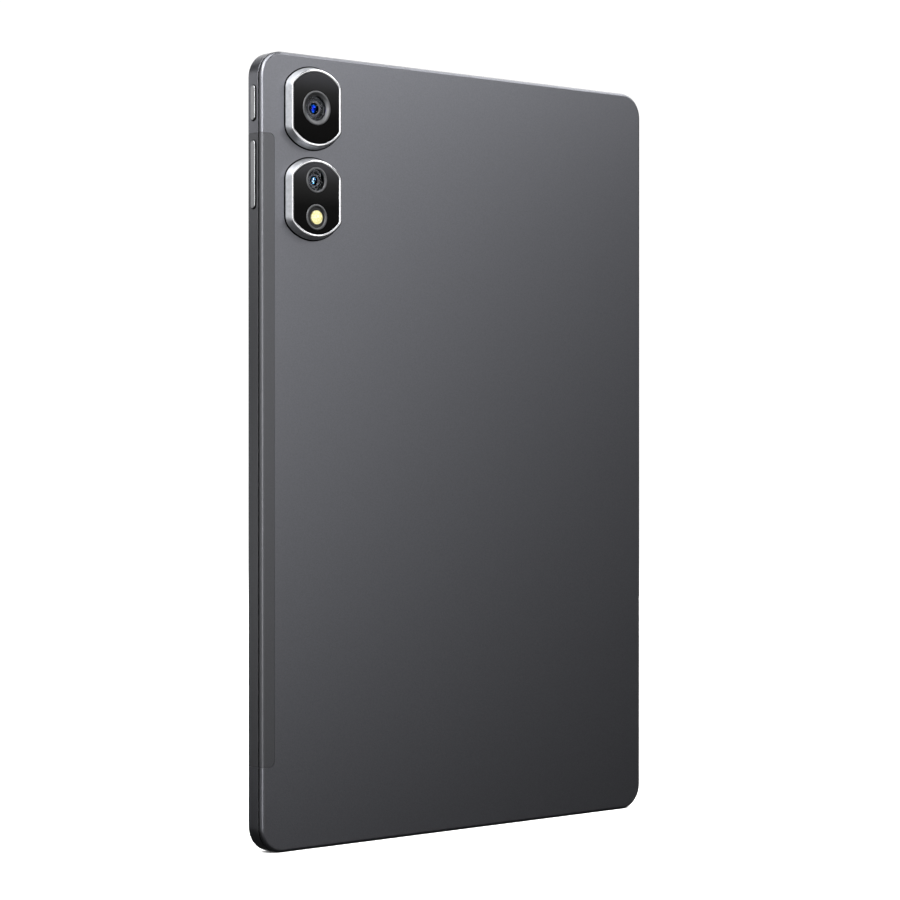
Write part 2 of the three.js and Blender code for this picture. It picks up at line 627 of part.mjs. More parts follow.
// The screen's ribbon leaves the panel's top edge, turns round through the midplate and runs down behind it.
function displayFlex() {
  const { width, sheet, tail, panelEnd, bend, depth } = DISPLAY_FLEX;
  const bendRadius = 1;
  const slope = 0.6;
  const route = [
    [panelEnd, depth[1]],
    [bend - bendRadius, depth[1]],
    [bend, depth[1] - bendRadius * slope],
    [bend, depth[0] + bendRadius * slope],
    [bend - bendRadius, depth[0]],
    [tail, depth[0]],
  ];
  const side = (offset) =>
    route.map(([z, d], i) => {
      const [z0, d0] = route[Math.max(i - 1, 0)];
      const [z1, d1] = route[Math.min(i + 1, route.length - 1)];
      const length = Math.hypot(z1 - z0, d1 - d0);
      return new THREE.Vector2(BACK_Y - d - (offset * (z1 - z0)) / length, z - (offset * (d1 - d0)) / length);
    });
  const shape = new THREE.Shape([...side(sheet / 2), ...side(-sheet / 2).reverse()]);
  return alongX(shape, around(0, width));
}

function frontCamera() {
  const { x, size, depth, lens, lensDepth } = FRONT_CAMERA;
  const body = block({ x: around(x, size), depth, z: around(MIDDLE_Z, size) });
  return join(body, disc(x, MIDDLE_Z, lens, lensDepth, SMALL_ROUND));
}

add(
  "midplate",
  cut(slab(outline(FRAME.wall + FIT), MIDPLATE.from, MIDPLATE.to), ...MIDPLATE_NOTCHES.map(throughBlock)),
  steel(),
);
add("backlight_unit", slab(screenShape(BACKLIGHT), BACKLIGHT.from, BACKLIGHT.to), reflector());
add("display_panel", slab(screenShape(PANEL), PANEL.from, PANEL.to), panelFilm());
add("display_flex", displayFlex(), amberFilm());
add("display_adhesive", displayAdhesive(), foamTape());
add(
  "cover_glass",
  slab(outline(GLASS.inset), GLASS.from, GLASS.to, { rounding: GLASS.rounding, curveSegments: 6 }),
  screenGlass(),
);
add("front_camera", frontCamera(), blackPlastic());

// ---------------------------------------------------------------- battery and boards

function batteryCell(side) {
  const x = (side * (CELL.gap + CELL.width)) / 2;
  const shape = roundedRectangle(CELL.width, CELL.height, CELL.corner, x, CELL.bottom + CELL.height / 2);
  return slab(shape, CELL.from, CELL.to, { rounding: CELL.rounding, curveSegments: 3 });
}

const screwHoles = (places) => places.map(([x, z]) => hole(x, z, SCREW.hole, SMALL_ROUND));

// A folded steel can over a group of chips, open towards the board.
function shield({ x, z }) {
  const { depth, sheet } = SHIELD;
  const room = block({
    x: [x[0] + sheet, x[1] - sheet],
    depth: [depth[0] + sheet, depth[1] + PAST],
    z: [z[0] + sheet, z[1] - sheet],
  });
  return cut(block({ x, depth, z }), room);
}

function graphiteSheet() {
  const { x, z, width, height, corner, from, to } = GRAPHITE;
  return slab(roundedRectangle(width, height, corner, x, z), from, to);
}

add("battery_cell_key_side", batteryCell(1), cellFoil());
add("battery_cell_tray_side", batteryCell(-1), cellFoil());
add("battery_board", join(block(BATTERY_BOARD), block(BATTERY_CHIP)), greenBoard());
add(
  "main_board",
  cut(join(block(BOARD), block(BATTERY_SOCKET), block(ANTENNA_SOCKET)), ...screwHoles(BOARD_SCREWS)),
  greenBoard(),
);
add("processor_shield", shield(PROCESSOR), tinnedSheet());
add("radio_shield", shield(RADIO), tinnedSheet());
add("graphite_sheet", graphiteSheet(), graphiteFilm());
add("main_flex", block(MAIN_FLEX), amberFilm());

// ---------------------------------------------------------------- connector

// The drawn steel shell, open at the edge and closed at its inner end.
function usbReceptacle() {
  const [front, end] = USB.z;
  const shell = alongZ(pill(USB.width, USB.height, 0, EDGE_Y), USB.z, 8);
  const room = pill(USB.width - 2 * USB.wall, USB.height - 2 * USB.wall, 0, EDGE_Y);
  return cut(shell, alongZ(room, [front - PAST, end - USB.back], 8));
}

add(
  "usb_board",
  cut(block(USB_BOARD), throughBlock(USB_NOTCH), ...screwHoles(CONNECTOR_SCREWS)),
  greenBoard(),
);
add("usb_receptacle", usbReceptacle(), steel());
add(
  "usb_tongue",
  block({ x: around(0, TONGUE.width), depth: around(EDGE_DEPTH, TONGUE.height), z: TONGUE.z }),
  blackPlastic(),
);
add("microphone", block(MICROPHONE), tinnedSheet());

// ---------------------------------------------------------------- speakers, antennas and screws

// A closed speaker box with a sound port towards the edge and a dished diaphragm in its back.
function speaker(x, side) {
  const { width, height, depth, edge, corner } = SPEAKER;
  const near = side < 0 ? edge : HEIGHT - edge;
  const z = near - (side * height) / 2;
  const box = slab(roundedRectangle(width, height, corner, x, z), ...depth, { curveSegments: 3 });
  const dishShape = roundedRectangle(
    DIAPHRAGM.width,
    DIAPHRAGM.height,
    DIAPHRAGM.corner,
    x,
    z - side * DIAPHRAGM.offset,
  );
  const dish = slab(dishShape, 0, depth[0] + DIAPHRAGM.sunk, { curveSegments: 3 });
  const portZ = [near + side, near - side * PORT.length].sort((a, b) => a - b);
  const port = block({ x: around(x, PORT.width), depth: PORT.depth, z: portZ });
  return cut(box, dish, port);
}

for (const [edgeName, side] of Object.entries({ bottom: -1, top: 1 }))
  for (const [sideName, x] of Object.entries({ key_side: GRILLE.x, tray_side: -GRILLE.x }))
    add(`speaker_${edgeName}_${sideName}`, speaker(x, side), blackPlastic());

// A foil under the plastic window, with a tail to the boards near its upper end.
function antenna(z) {
  const tailTop = z[1] - ANTENNA.tailEnd;
  return join(
    block({ x: ANTENNA.x, depth: ANTENNA.depth, z }),
    block({ x: ANTENNA.tailX, depth: ANTENNA.depth, z: [tailTop - ANTENNA.tail, tailTop] }),
  );
}

add("cellular_antenna", antenna(CELLULAR_Z), amberFilm());
add("wifi_antenna", antenna(WIFI_Z), amberFilm());

// A pan-head screw whose head sits just off a board that starts at a given depth.
function screw([x, z], boardFrom) {
  const seat = boardFrom - FIT / 2;
  const top = boardFrom - SCREW.height;
  const profile = [
    [0, top],
    [SCREW.head - SCREW.chamfer, top],
    [SCREW.head, top + SCREW.chamfer / 2],
    [SCREW.head, seat],
    [SCREW.shank, seat],
    [SCREW.shank, boardFrom + SCREW.length],
    [0, boardFrom + SCREW.length + FIT],
  ];
  return turned(x, z, profile, SMALL_ROUND);
}

BOARD_SCREWS.forEach((place, i) => add(`board_screw_${i + 1}`, screw(place, BOARD.depth[0]), steel()));
CONNECTOR_SCREWS.forEach((place, i) =>
  add(`connector_screw_${i + 1}`, screw(place, USB_BOARD.depth[0]), steel()),
);

export default tablet;
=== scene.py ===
# The tablet computer's looks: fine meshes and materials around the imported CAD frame. Blender 4.5, metres.
# Shapes are drawn in millimetres, with a depth that is 0 at the back and grows towards the screen.
import json
import math

import bmesh
import bpy
from mathutils import Matrix, Vector

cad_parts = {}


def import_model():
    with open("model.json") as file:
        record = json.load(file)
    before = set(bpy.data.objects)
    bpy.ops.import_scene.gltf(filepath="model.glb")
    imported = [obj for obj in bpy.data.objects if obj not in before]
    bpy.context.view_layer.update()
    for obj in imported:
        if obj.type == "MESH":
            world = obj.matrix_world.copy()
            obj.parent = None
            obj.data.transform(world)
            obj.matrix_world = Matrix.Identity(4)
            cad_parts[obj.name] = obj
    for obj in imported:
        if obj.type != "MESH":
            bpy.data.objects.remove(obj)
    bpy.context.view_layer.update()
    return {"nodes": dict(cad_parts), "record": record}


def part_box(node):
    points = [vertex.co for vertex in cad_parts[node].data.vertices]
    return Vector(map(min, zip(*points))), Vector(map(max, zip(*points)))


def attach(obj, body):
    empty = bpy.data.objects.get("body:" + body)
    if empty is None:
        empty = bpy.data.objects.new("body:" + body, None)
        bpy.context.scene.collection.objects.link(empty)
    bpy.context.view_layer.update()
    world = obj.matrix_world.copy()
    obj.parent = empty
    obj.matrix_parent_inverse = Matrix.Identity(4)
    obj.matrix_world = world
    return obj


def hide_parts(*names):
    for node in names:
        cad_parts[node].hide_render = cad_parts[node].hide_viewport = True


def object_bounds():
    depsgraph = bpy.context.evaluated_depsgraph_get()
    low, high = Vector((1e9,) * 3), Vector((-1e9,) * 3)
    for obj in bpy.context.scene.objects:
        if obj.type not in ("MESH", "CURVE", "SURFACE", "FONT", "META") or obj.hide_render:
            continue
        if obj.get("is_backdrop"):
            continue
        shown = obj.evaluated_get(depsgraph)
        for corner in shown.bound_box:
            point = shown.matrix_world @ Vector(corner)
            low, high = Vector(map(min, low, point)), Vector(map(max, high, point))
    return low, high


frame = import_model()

MM = 0.001

# -------------------------------- places, from the CAD


def centre(node):
    low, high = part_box(node)
    return (low + high) / 2


cover_low, cover_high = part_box("rear_cover")
BACK_Y = cover_high.y
WIDTH = (cover_high.x - cover_low.x) / MM
HEIGHT = (cover_high.z - cover_low.z) / MM
THICKNESS = (BACK_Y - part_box("cover_glass")[0].y) / MM
EDGE_X = WIDTH / 2
MIDDLE_Z = HEIGHT / 2


def depth_of(y):
    """The depth in millimetres of a place along Y in metres."""
    return (BACK_Y - y) / MM


EDGE_DEPTH = depth_of(centre("power_key").y)
ISLAND_X = centre("main_lens_ring").x / MM
UPPER_Z = centre("main_camera_bezel").z / MM
LOWER_Z = centre("second_camera_bezel").z / MM
SECOND_Z = centre("second_lens_ring").z / MM
FLASH_Z = centre("flash_ring").z / MM
ISLAND_HEIGHT = -depth_of(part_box("main_camera_bezel")[1].y)
PLATE_TOP = depth_of(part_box("main_camera_window")[1].y)
PLATE_BOTTOM = depth_of(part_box("main_camera_window")[0].y)

# -------------------------------- other sizes, in millimetres

CORNER = 8.5
SEAM = 0.08
ARC = 14  # steps in a quarter of a large corner
COVER = {"plate": 0.8, "rim": 1.25, "rounding": 1.1, "rim_width": 1.9}
FRAME = {"neck": 1.3, "band": 1.95, "ledge": 6.65, "front": 7.25}  # the depths where its parts start
FRAME_EDGE = {"back": 0.12, "front": 0.3}  # how far the band's edges are rounded
WALL_INSET = 2.6
LIP_INSET = 0.9
NECK_INSET = 0.7
WINDOW = {"bottom": 27.8, "top": 231.4, "reach": 5.2, "corner": 2.0, "frame_depth": 1.4}
ISLAND = {"half_width": 10.05, "radius": 12.5, "corner": 2.0, "taper": 0.9, "rim": 0.85, "gap": 0.3}
FOOT = 0.13  # the share of an island's wall, from its foot up, that is painted dark as the shade of the gap round it
CORNER_GROWTH = {"outwards": 3.5, "inwards": 0.6}  # how fast the soft corners change with the offset
KEY = {"width": 2.2, "slot_width": 2.9, "end_clearance": 0.15}
KEY_LENGTH = {"power_key": 11.3, "volume_key": 21.9}
GRILLE = {"x": 32.0, "slots": 6, "pitch": 4.0, "length": 2.6, "height": 1.2}
RING = {"main": (5.6, 4.05), "second": (4.2, 3.45), "flash": (4.2, 3.45)}  # outer and inner radii
PUPIL = {"main": 1.85, "second": 1.45, "front": 0.75}  # the front elements' radii
LAMP = {"radius": 2.25, "aside": -0.4, "rise": 0.36}  # the flash's dome
EYE = 1.7  # the radius of the front camera's window
SCREEN_AREA = (148, 237)
TRAY = {"depth": 3.7, "middle": 214.05, "cap_height": 1.8, "cap_length": 16.5, "cap_thickness": 1.4}
SHELF = (206.6, 219.2)
WELL = (207.6, 218.2)
WELLS_ALONG_X = [(-82.0, -71.4), (-70.4, -62.6)]
USB_PADS = {"count": 12, "pitch": 0.5, "half_width": 0.13}
PAST = 5.0  # how far a cutter runs past what it cuts

# -------------------------------- outlines


def arc(x, z, radius, start, end, steps):
    """Points along an arc, both ends included. The angles are in degrees."""
    angles = [math.radians(start + (end - start) * i / steps) for i in range(steps + 1)]
    return [(x + radius * math.cos(a), z + radius * math.sin(a)) for a in angles]


def without_repeats(points):
    """The points without any that lie on the one before."""
    kept = []
    for p in points:
        before = kept[-1] if kept else points[-1]
        if math.dist(p, before) > 1e-6:
            kept.append(p)
    return kept


def rounded_rectangle(width, height, radius, x, z, steps=ARC):
    w, h = width / 2 - radius, height / 2 - radius
    corners = [(w, h), (-w, h), (-w, -h), (w, -h)]
    points = []
    for quarter, (dx, dz) in enumerate(corners):
        points += arc(x + dx, z + dz, radius, 90 * quarter, 90 * quarter + 90, steps)
    return points


def pill(width, height, x, z, steps=10):
    """A rectangle whose shorter sides are half circles."""
    return without_repeats(rounded_rectangle(width, height, min(width, height) / 2, x, z, steps))


def circle(radius, sides):
    return arc(0, 0, radius, 0, 360 - 360 / sides, sides - 1)


def body_outline(inset):
    """The tablet's outline, moved inwards."""
    return rounded_rectangle(WIDTH - 2 * inset, HEIGHT - 2 * inset, CORNER - inset, 0, MIDDLE_Z)


def island_outline(z, offset):
    """A circle with two flat sides and soft corners, moved outwards from the island's rim."""
    corner = ISLAND["corner"] + offset * CORNER_GROWTH["outwards" if offset > 0 else "inwards"]
    radius = ISLAND["radius"] + offset
    dx = ISLAND["half_width"] + offset - corner
    dz = math.sqrt((radius - corner) ** 2 - dx**2)
    turn = math.degrees(math.atan2(dz, dx))
    points = arc(ISLAND_X + dx, z + dz, corner, 0, turn, 8)
    points += arc(ISLAND_X, z, radius, turn, 180 - turn, 24)
    points += arc(ISLAND_X - dx, z + dz, corner, 180 - turn, 180, 8)
    points += arc(ISLAND_X - dx, z - dz, corner, 180, 180 + turn, 8)
    points += arc(ISLAND_X, z, radius, 180 + turn, 360 - turn, 24)
    points += arc(ISLAND_X + dx, z - dz, corner, 360 - turn, 360, 8)
    return without_repeats(points)


def rounding(radius, steps):
    """Steps round a quarter circle edge, from the side to the face: how far in and how far down each is."""
    turns = [math.radians(90 * i / steps) for i in range(steps + 1)]
    return [(radius * (1 - math.cos(t)), radius * (1 - math.sin(t))) for t in turns]


# -------------------------------- meshes


def point(x, depth, z):
    """A place in metres, from millimetres."""
    return Vector((x * MM, BACK_Y - depth * MM, z * MM))


def in_depth(outline, depth):
    """An outline in X and Z as points at one depth."""
    return [point(x, depth, z) for x, z in outline]


def at_x(outline, x):
    """An outline of depths and heights as points at one place along X."""
    return [point(x, depth, z) for depth, z in outline]


def at_z(outline, z):
    """An outline of X places and depths as points at one height."""
    return [point(x, depth, z) for x, depth in outline]


def new_object(name, mesh_builder):
    mesh = bpy.data.meshes.new(name)
    mesh_builder.to_mesh(mesh)
    mesh_builder.free()
    obj = bpy.data.objects.new(name, mesh)
    bpy.context.scene.collection.objects.link(obj)
    return obj


def loft(name, rings, closed=False):
    """A skin over rings of points. It has end caps unless it is closed round on itself."""
    builder = bmesh.new()
    loops = [[builder.verts.new(p) for p in ring] for ring in rings]
    pairs = list(zip(loops, loops[1:]))
    if closed:
        pairs.append((loops[-1], loops[0]))
    else:
        builder.faces.new(loops[0])
        builder.faces.new(loops[-1])
    for near, far in pairs:
        for i, corner in enumerate(near):
            j = (i + 1) % len(near)
            builder.faces.new((corner, near[j], far[j], far[i]))
    bmesh.ops.recalc_face_normals(builder, faces=builder.faces)
    return new_object(name, builder)


def prism(name, outline, start, end):
    """A straight piece from one depth to another."""
    return loft(name, [in_depth(outline, start), in_depth(outline, end)])


def prism_along_z(name, outline, z0, z1):
    """A straight piece along Z from an outline of X places and depths."""
    return loft(name, [at_z(outline, z0), at_z(outline, z1)])


def turned(name, x, z, profile, sides=96):
    """A piece turned about the line along Y at (x, z), from a closed profile of (radius, depth).

    Its origin is on that line, at the back, so its material can use the distance from it.
    """
    builder = bmesh.new()
    loops = []
    for radius, depth in profile:
        if radius == 0:
            loops.append([builder.verts.new((0, -depth * MM, 0))] * sides)
            continue
        ring = circle(radius, sides)
        loops.append([builder.verts.new((px * MM, -depth * MM, pz * MM)) for px, pz in ring])
    for near, far in zip(loops, loops[1:] + loops[:1]):
        for i in range(sides):
            j = (i + 1) % sides
            corners = list(dict.fromkeys((near[i], near[j], far[j], far[i])))
            if len(corners) > 2:
                builder.faces.new(corners)
    bmesh.ops.recalc_face_normals(builder, faces=builder.faces)
    obj = new_object(name, builder)
    obj.location = point(x, 0, z)
    return obj


def joined(name, objects):
    """Several meshes as one object at the frame's origin."""
    builder = bmesh.new()
    bpy.context.view_layer.update()
    for o in objects:
        start = len(builder.verts)
        builder.from_mesh(o.data)
        builder.verts.ensure_lookup_table()
        bmesh.ops.transform(builder, matrix=o.matrix_world, verts=builder.verts[start:])
        bpy.data.objects.remove(o)
    return new_object(name, builder)


def carve(obj, cutters, operation="DIFFERENCE"):
    """Cuts the cutters out of obj, keeps only what they share with it, or adds them to it."""
    tool = joined("cutter", cutters)
    modifier = obj.modifiers.new("carve", "BOOLEAN")
    modifier.operation = operation
    modifier.solver = "EXACT"
    modifier.object = tool
    apply_modifiers(obj)
    bpy.data.objects.remove(tool)


def apply_modifiers(obj):
    depsgraph = bpy.context.evaluated_depsgraph_get()
    mesh = bpy.data.meshes.new_from_object(obj.evaluated_get(depsgraph))
    obj.modifiers.clear()
    obj.data = mesh


def smooth(obj, angle):
    """Smooth shading that keeps edges sharper than angle, with flat faces staying flat."""
    obj.data.shade_smooth()
    obj.data.set_sharp_from_angle(angle=math.radians(angle))
    modifier = obj.modifiers.new("normals", "WEIGHTED_NORMAL")
    modifier.keep_sharp = True
    modifier.weight = 100


def copy_of(obj, name):
    twin = bpy.data.objects.new(name, obj.data.copy())
    twin.matrix_world = obj.matrix_world
    bpy.context.scene.collection.objects.link(twin)
    return twin


def piece(obj, body, materials, replaces=(), angle=35):
    """Puts a finished mesh in the assembly."""
    for m in materials if isinstance(materials, list) else [materials]:
        obj.data.materials.append(m)
    smooth(obj, angle)
    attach(obj, body)
    if replaces:
        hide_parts(*replaces)
    return obj


# -------------------------------- material building


class Shader:
    """A node material with one Principled shader, and short ways to build procedural inputs for it."""

    def __init__(self, name, **sockets):
        self.material = bpy.data.materials.new(name)
        self.material.use_nodes = True
        self.tree = self.material.node_tree
        self.surface = self.tree.nodes["Principled BSDF"]
        for socket, value in sockets.items():
            self.surface.inputs[socket.replace("_", " ")].default_value = value
        self.place = self.node("ShaderNodeTexCoord").outputs["Object"]
        self.last_bump = None

    def node(self, kind, **properties):
        made = self.tree.nodes.new(kind)
        for key, value in properties.items():
            setattr(made, key, value)
        return made

    def link(self, output, target):
        self.tree.links.new(output, target)

    def noise(self, size, detail, stretch=(1, 1, 1)):
        """Noise whose features are about size millimetres across, and shorter where stretch is above 1."""
        scaled = self.node("ShaderNodeMapping")
        scaled.inputs["Scale"].default_value = stretch
        self.link(self.place, scaled.inputs["Vector"])
        texture = self.node("ShaderNodeTexNoise")
        texture.inputs["Scale"].default_value = 1 / (size * MM)
        texture.inputs["Detail"].default_value = detail
        self.link(scaled.outputs["Vector"], texture.inputs["Vector"])
        return texture.outputs["Fac"]

    def cells(self, size):
        """The distance to the middle of the nearest of cells about size millimetres across."""
        texture = self.node("ShaderNodeTexVoronoi")
        texture.inputs["Scale"].default_value = 1 / (size * MM)
        self.link(self.place, texture.inputs["Vector"])
        return texture.outputs["Distance"]

    def part(self, axis):
        """One coordinate of the place, in metres."""
        split = self.node("ShaderNodeSeparateXYZ")
        self.link(self.place, split.inputs["Vector"])
        return split.outputs[axis]

    def math(self, operation, a, b=0.0):
        made = self.node("ShaderNodeMath", operation=operation)
        for value, socket in ((a, made.inputs[0]), (b, made.inputs[1])):
            if isinstance(value, (int, float)):
                socket.default_value = value
            else:
                self.link(value, socket)
        return made.outputs["Value"]

    def from_axis(self):
        """The distance from the piece's own Y axis, in metres."""
        x, z = self.part("X"), self.part("Z")
        squares = self.math("ADD", self.math("MULTIPLY", x, x), self.math("MULTIPLY", z, z))
        return self.math("SQRT", squares)

    def waves(self, value, pitch):
        """A sine of a length in metres, with a pitch in millimetres, from -1 to 1."""
        return self.math("SINE", self.math("MULTIPLY", value, 2 * math.pi / (pitch * MM)))

    def ramp(self, value, *stops):
        """Colours along a value. Each stop is (place, colour)."""
        made = self.node("ShaderNodeValToRGB")
        elements = made.color_ramp.elements
        while len(elements) < len(stops):
            elements.new(0.5)
        for element, (place, colour) in zip(elements, stops):
            element.position = place
            element.color = (*colour, 1)
        self.link(value, made.inputs["Fac"])
        return made.outputs["Color"]

    def colour(self, value, *stops):
        self.link(self.ramp(value, *stops), self.surface.inputs["Base Color"])

    def roughness(self, value, low, high):
        """Roughness that follows a value from 0.3 to 0.7, where most of a noise lies."""
        made = self.node("ShaderNodeMapRange")
        for socket, number in (("From Min", 0.3), ("From Max", 0.7), ("To Min", low), ("To Max", high)):
            made.inputs[socket].default_value = number
        self.link(value, made.inputs["Value"])
        self.link(made.outputs["Result"], self.surface.inputs["Roughness"])

    def bump(self, height, distance, strength):
        """Relief of about distance millimetres. Each one lies on the one before."""
        made = self.node("ShaderNodeBump")
        made.inputs["Distance"].default_value = distance * MM
        made.inputs["Strength"].default_value = strength
        self.link(height, made.inputs["Height"])
        if self.last_bump:
            self.link(self.last_bump, made.inputs["Normal"])
        self.last_bump = made.outputs["Normal"]
        self.link(self.last_bump, self.surface.inputs["Normal"])
        return self


def grey(value):
    return (value, value, value)


# -------------------------------- materials


def blasted_metal(name, dark, light, roughness=0.37):
    """Anodised metal with a fine blasted grain in its colour, gloss and relief."""
    s = Shader(name, Metallic=1.0, Roughness=roughness)
    s.colour(s.noise(0.35, 3), (0.3, dark), (0.7, light))
    s.roughness(s.noise(0.8, 3), roughness - 0.012, roughness + 0.012)
    return s.bump(s.noise(0.16, 2), 0.004, 0.35).material


def window_plastic():
    """Painted to match the metal round it, but a shade darker."""
    s = Shader("window_plastic", Metallic=0.95, Roughness=0.4)
    s.colour(s.noise(0.3, 3), (0.3, (0.072, 0.073, 0.078)), (0.7, (0.086, 0.087, 0.093)))
    s.roughness(s.noise(0.8, 3), 0.385, 0.41)
    return s.bump(s.noise(0.12, 2), 0.003, 0.3).material


def polished_rim():
    """The bright cut edge round each island's plate."""
    s = Shader("polished_rim", Metallic=1.0, Roughness=0.12)
    s.colour(s.noise(2.0, 2), (0.3, (0.40, 0.40, 0.41)), (0.7, (0.45, 0.45, 0.46)))
    s.roughness(s.noise(0.6, 3), 0.10, 0.16)
    return s.bump(s.noise(0.2, 2), 0.0008, 0.4).material


def satin_wall():
    """The islands' tapered walls: pale satin metal with fine lines round them."""
    s = Shader("satin_wall", Metallic=1.0, Roughness=0.5)
    s.colour(s.noise(1.2, 3), (0.3, (0.40, 0.41, 0.43)), (0.7, (0.50, 0.51, 0.53)))
    s.roughness(s.noise(0.8, 3), 0.47, 0.52)
    return s.bump(s.noise(0.25, 2, (0.1, 6, 0.1)), 0.0012, 0.35).material


def black_glass():
    """Black glass with a painted reflection and shade: dark grey at its upper end, fading to black at its
    lower end.
    """
    s = Shader("black_glass", Roughness=0.22, Specular_IOR_Level=0.005)
    half = ISLAND["radius"] * MM
    height = s.math("DIVIDE", s.math("ADD", s.part("Z"), half), 2 * half)
    # Painted reflection: the glass is lighter towards its upper end and darker towards its lower end.
    s.colour(
        height,
        (0.0, grey(0.001)),
        (0.4, grey(0.0015)),
        (0.7, grey(0.005)),
        (1.0, (0.015, 0.015, 0.0165)),
    )
    s.roughness(s.noise(4, 2), 0.20, 0.26)
    return s.bump(s.noise(1.5, 2), 0.0004, 0.3).material


def turned_metal(name, colour, roughness):
    """Metal with fine lathe grooves round the piece's own axis."""
    s = Shader(name, Metallic=1.0, Roughness=roughness)
    grooves = s.waves(s.from_axis(), 0.08)
    lighter = tuple(min(1.0, c * 1.25) for c in colour)
    s.colour(s.noise(0.5, 3), (0.3, colour), (0.7, lighter))
    s.roughness(s.noise(0.3, 2), roughness - 0.04, roughness + 0.05)
    return s.bump(grooves, 0.0012, 0.4).material


def lens_cover_glass():
    """Clear glass with a low index, which stands for its anti-reflection coating."""
    s = Shader("lens_cover_glass", Roughness=0.02, IOR=1.06, Transmission_Weight=1.0)
    s.colour(s.from_axis(), (0.0, (0.93, 0.95, 1.0)), (1.0, (0.88, 0.92, 1.0)))
    return s.bump(s.noise(3, 1), 0.0001, 0.2).material


def ridged_black():
    """The inside of a lens barrel: dull black with stepped baffle rings."""
    s = Shader("ridged_black", Roughness=0.6, Specular_IOR_Level=0.2)
    s.colour(s.noise(0.3, 2), (0.3, grey(0.003)), (0.7, grey(0.006)))
    s.roughness(s.noise(0.2, 2), 0.4, 0.6)
    return s.bump(s.waves(s.from_axis(), 0.22), 0.02, 0.5).material


def coated_lens(name, centre_colour, edge_colour, radius):
    """A front element whose coating mirrors light in a deep colour that changes towards its rim."""
    s = Shader(name, Metallic=1.0, Roughness=0.08)
    share = s.math("DIVIDE", s.from_axis(), radius * MM)
    s.colour(
        share,
        (0.0, centre_colour),
        (0.5, centre_colour),
        (0.58, edge_colour),
        (0.72, (0.002, 0.002, 0.004)),
    )
    return s.bump(s.noise(1.0, 1), 0.0002, 0.2).material


def phosphor_lens():
    """A clear flash lens over yellow phosphor: ring steps and the faint grid of the lamp below."""
    s = Shader("phosphor_lens", Roughness=0.35, Specular_IOR_Level=0.3)
    spots = s.cells(0.55)
    s.colour(
        spots,
        (0.1, (0.30, 0.275, 0.13)),
        (0.45, (0.23, 0.205, 0.075)),
        (0.8, (0.36, 0.35, 0.23)),
    )
    s.bump(s.waves(s.from_axis(), 0.5), 0.03, 0.6)
    return s.bump(spots, 0.05, 0.4).material


def screen_glass():
    """Glossy cover glass: a black printed border, and the switched-off screen a shade lighter in it."""
    s = Shader("screen_glass", Roughness=0.06, Coat_Weight=1.0, Coat_Roughness=0.02)
    half_width, half_height = SCREEN_AREA[0] / 2 * MM, SCREEN_AREA[1] / 2 * MM
    inside_x = s.math("LESS_THAN", s.math("ABSOLUTE", s.part("X")), half_width)
    from_middle = s.math("ABSOLUTE", s.math("SUBTRACT", s.part("Z"), MIDDLE_Z * MM))
    inside = s.math("MULTIPLY", inside_x, s.math("LESS_THAN", from_middle, half_height))
    s.colour(inside, (0.0, (0.0022, 0.0022, 0.0024)), (1.0, (0.0095, 0.0100, 0.0115)))
    s.roughness(s.noise(25, 2), 0.05, 0.08)
    return s.bump(s.noise(30, 1), 0.0006, 0.2).material


def black_plastic():
    """Moulded plastic with a fine spark-eroded grain."""
    s = Shader("black_plastic", Roughness=0.55)
    s.colour(s.noise(0.4, 3), (0.3, (0.008, 0.008, 0.009)), (0.7, (0.016, 0.016, 0.017)))
    s.roughness(s.noise(1.5, 2), 0.49, 0.61)
    return s.bump(s.noise(0.1, 2), 0.006, 0.5).material


def sheet_metal(name, dark, light, roughness=0.32):
    """Rolled sheet with long faint lines along Z."""
    s = Shader(name, Metallic=1.0, Roughness=roughness)
    s.colour(s.noise(0.8, 3, (1, 1, 0.08)), (0.3, dark), (0.7, light))
    s.roughness(s.noise(0.4, 3, (1, 1, 0.1)), roughness - 0.06, roughness + 0.08)
    return s.bump(s.noise(0.15, 2, (1, 1, 0.1)), 0.0015, 0.4).material


def circuit_board():
    """Green lacquer with a pattern of tracks showing through it."""
    s = Shader("circuit_board", Roughness=0.4, Coat_Weight=0.5, Coat_Roughness=0.15)
    tracks = s.math("MULTIPLY", s.waves(s.part("X"), 1.1), s.waves(s.part("Z"), 0.7))
    s.colour(tracks, (0.35, (0.004, 0.030, 0.018)), (0.55, (0.012, 0.065, 0.036)))
    return s.bump(tracks, 0.01, 0.3).material


def amber_film():
    """Flexible circuit: amber film with fine copper lines along it."""
    s = Shader("amber_film", Roughness=0.35, Metallic=0.2)
    lines = s.waves(s.part("X"), 0.4)
    s.colour(lines, (0.3, (0.26, 0.085, 0.018)), (0.7, (0.42, 0.16, 0.035)))
    return s.bump(lines, 0.006, 0.4).material


def cell_foil():
    """The battery cells' dark laminate, with shallow dents."""
    s = Shader("cell_foil", Roughness=0.42, Metallic=0.25)
    s.colour(s.noise(6, 3), (0.3, (0.014, 0.014, 0.016)), (0.7, (0.026, 0.026, 0.029)))
    s.roughness(s.noise(9, 3), 0.34, 0.5)
    return s.bump(s.noise(12, 3), 0.15, 0.25).material


def foam():
    """Black foam tape with open pores."""
    s = Shader("foam_tape", Roughness=0.85)
    s.colour(s.noise(0.3, 3), (0.3, (0.008, 0.008, 0.008)), (0.7, (0.018, 0.018, 0.018)))
    return s.bump(s.cells(0.25), 0.03, 0.6).material


def diffuser_film():
    """The backlight's white film, with a beaded surface."""
    s = Shader("diffuser_film", Roughness=0.45)
    s.colour(s.noise(3, 2), (0.3, (0.66, 0.67, 0.69)), (0.7, (0.74, 0.75, 0.77)))
    return s.bump(s.cells(0.2), 0.01, 0.4).material


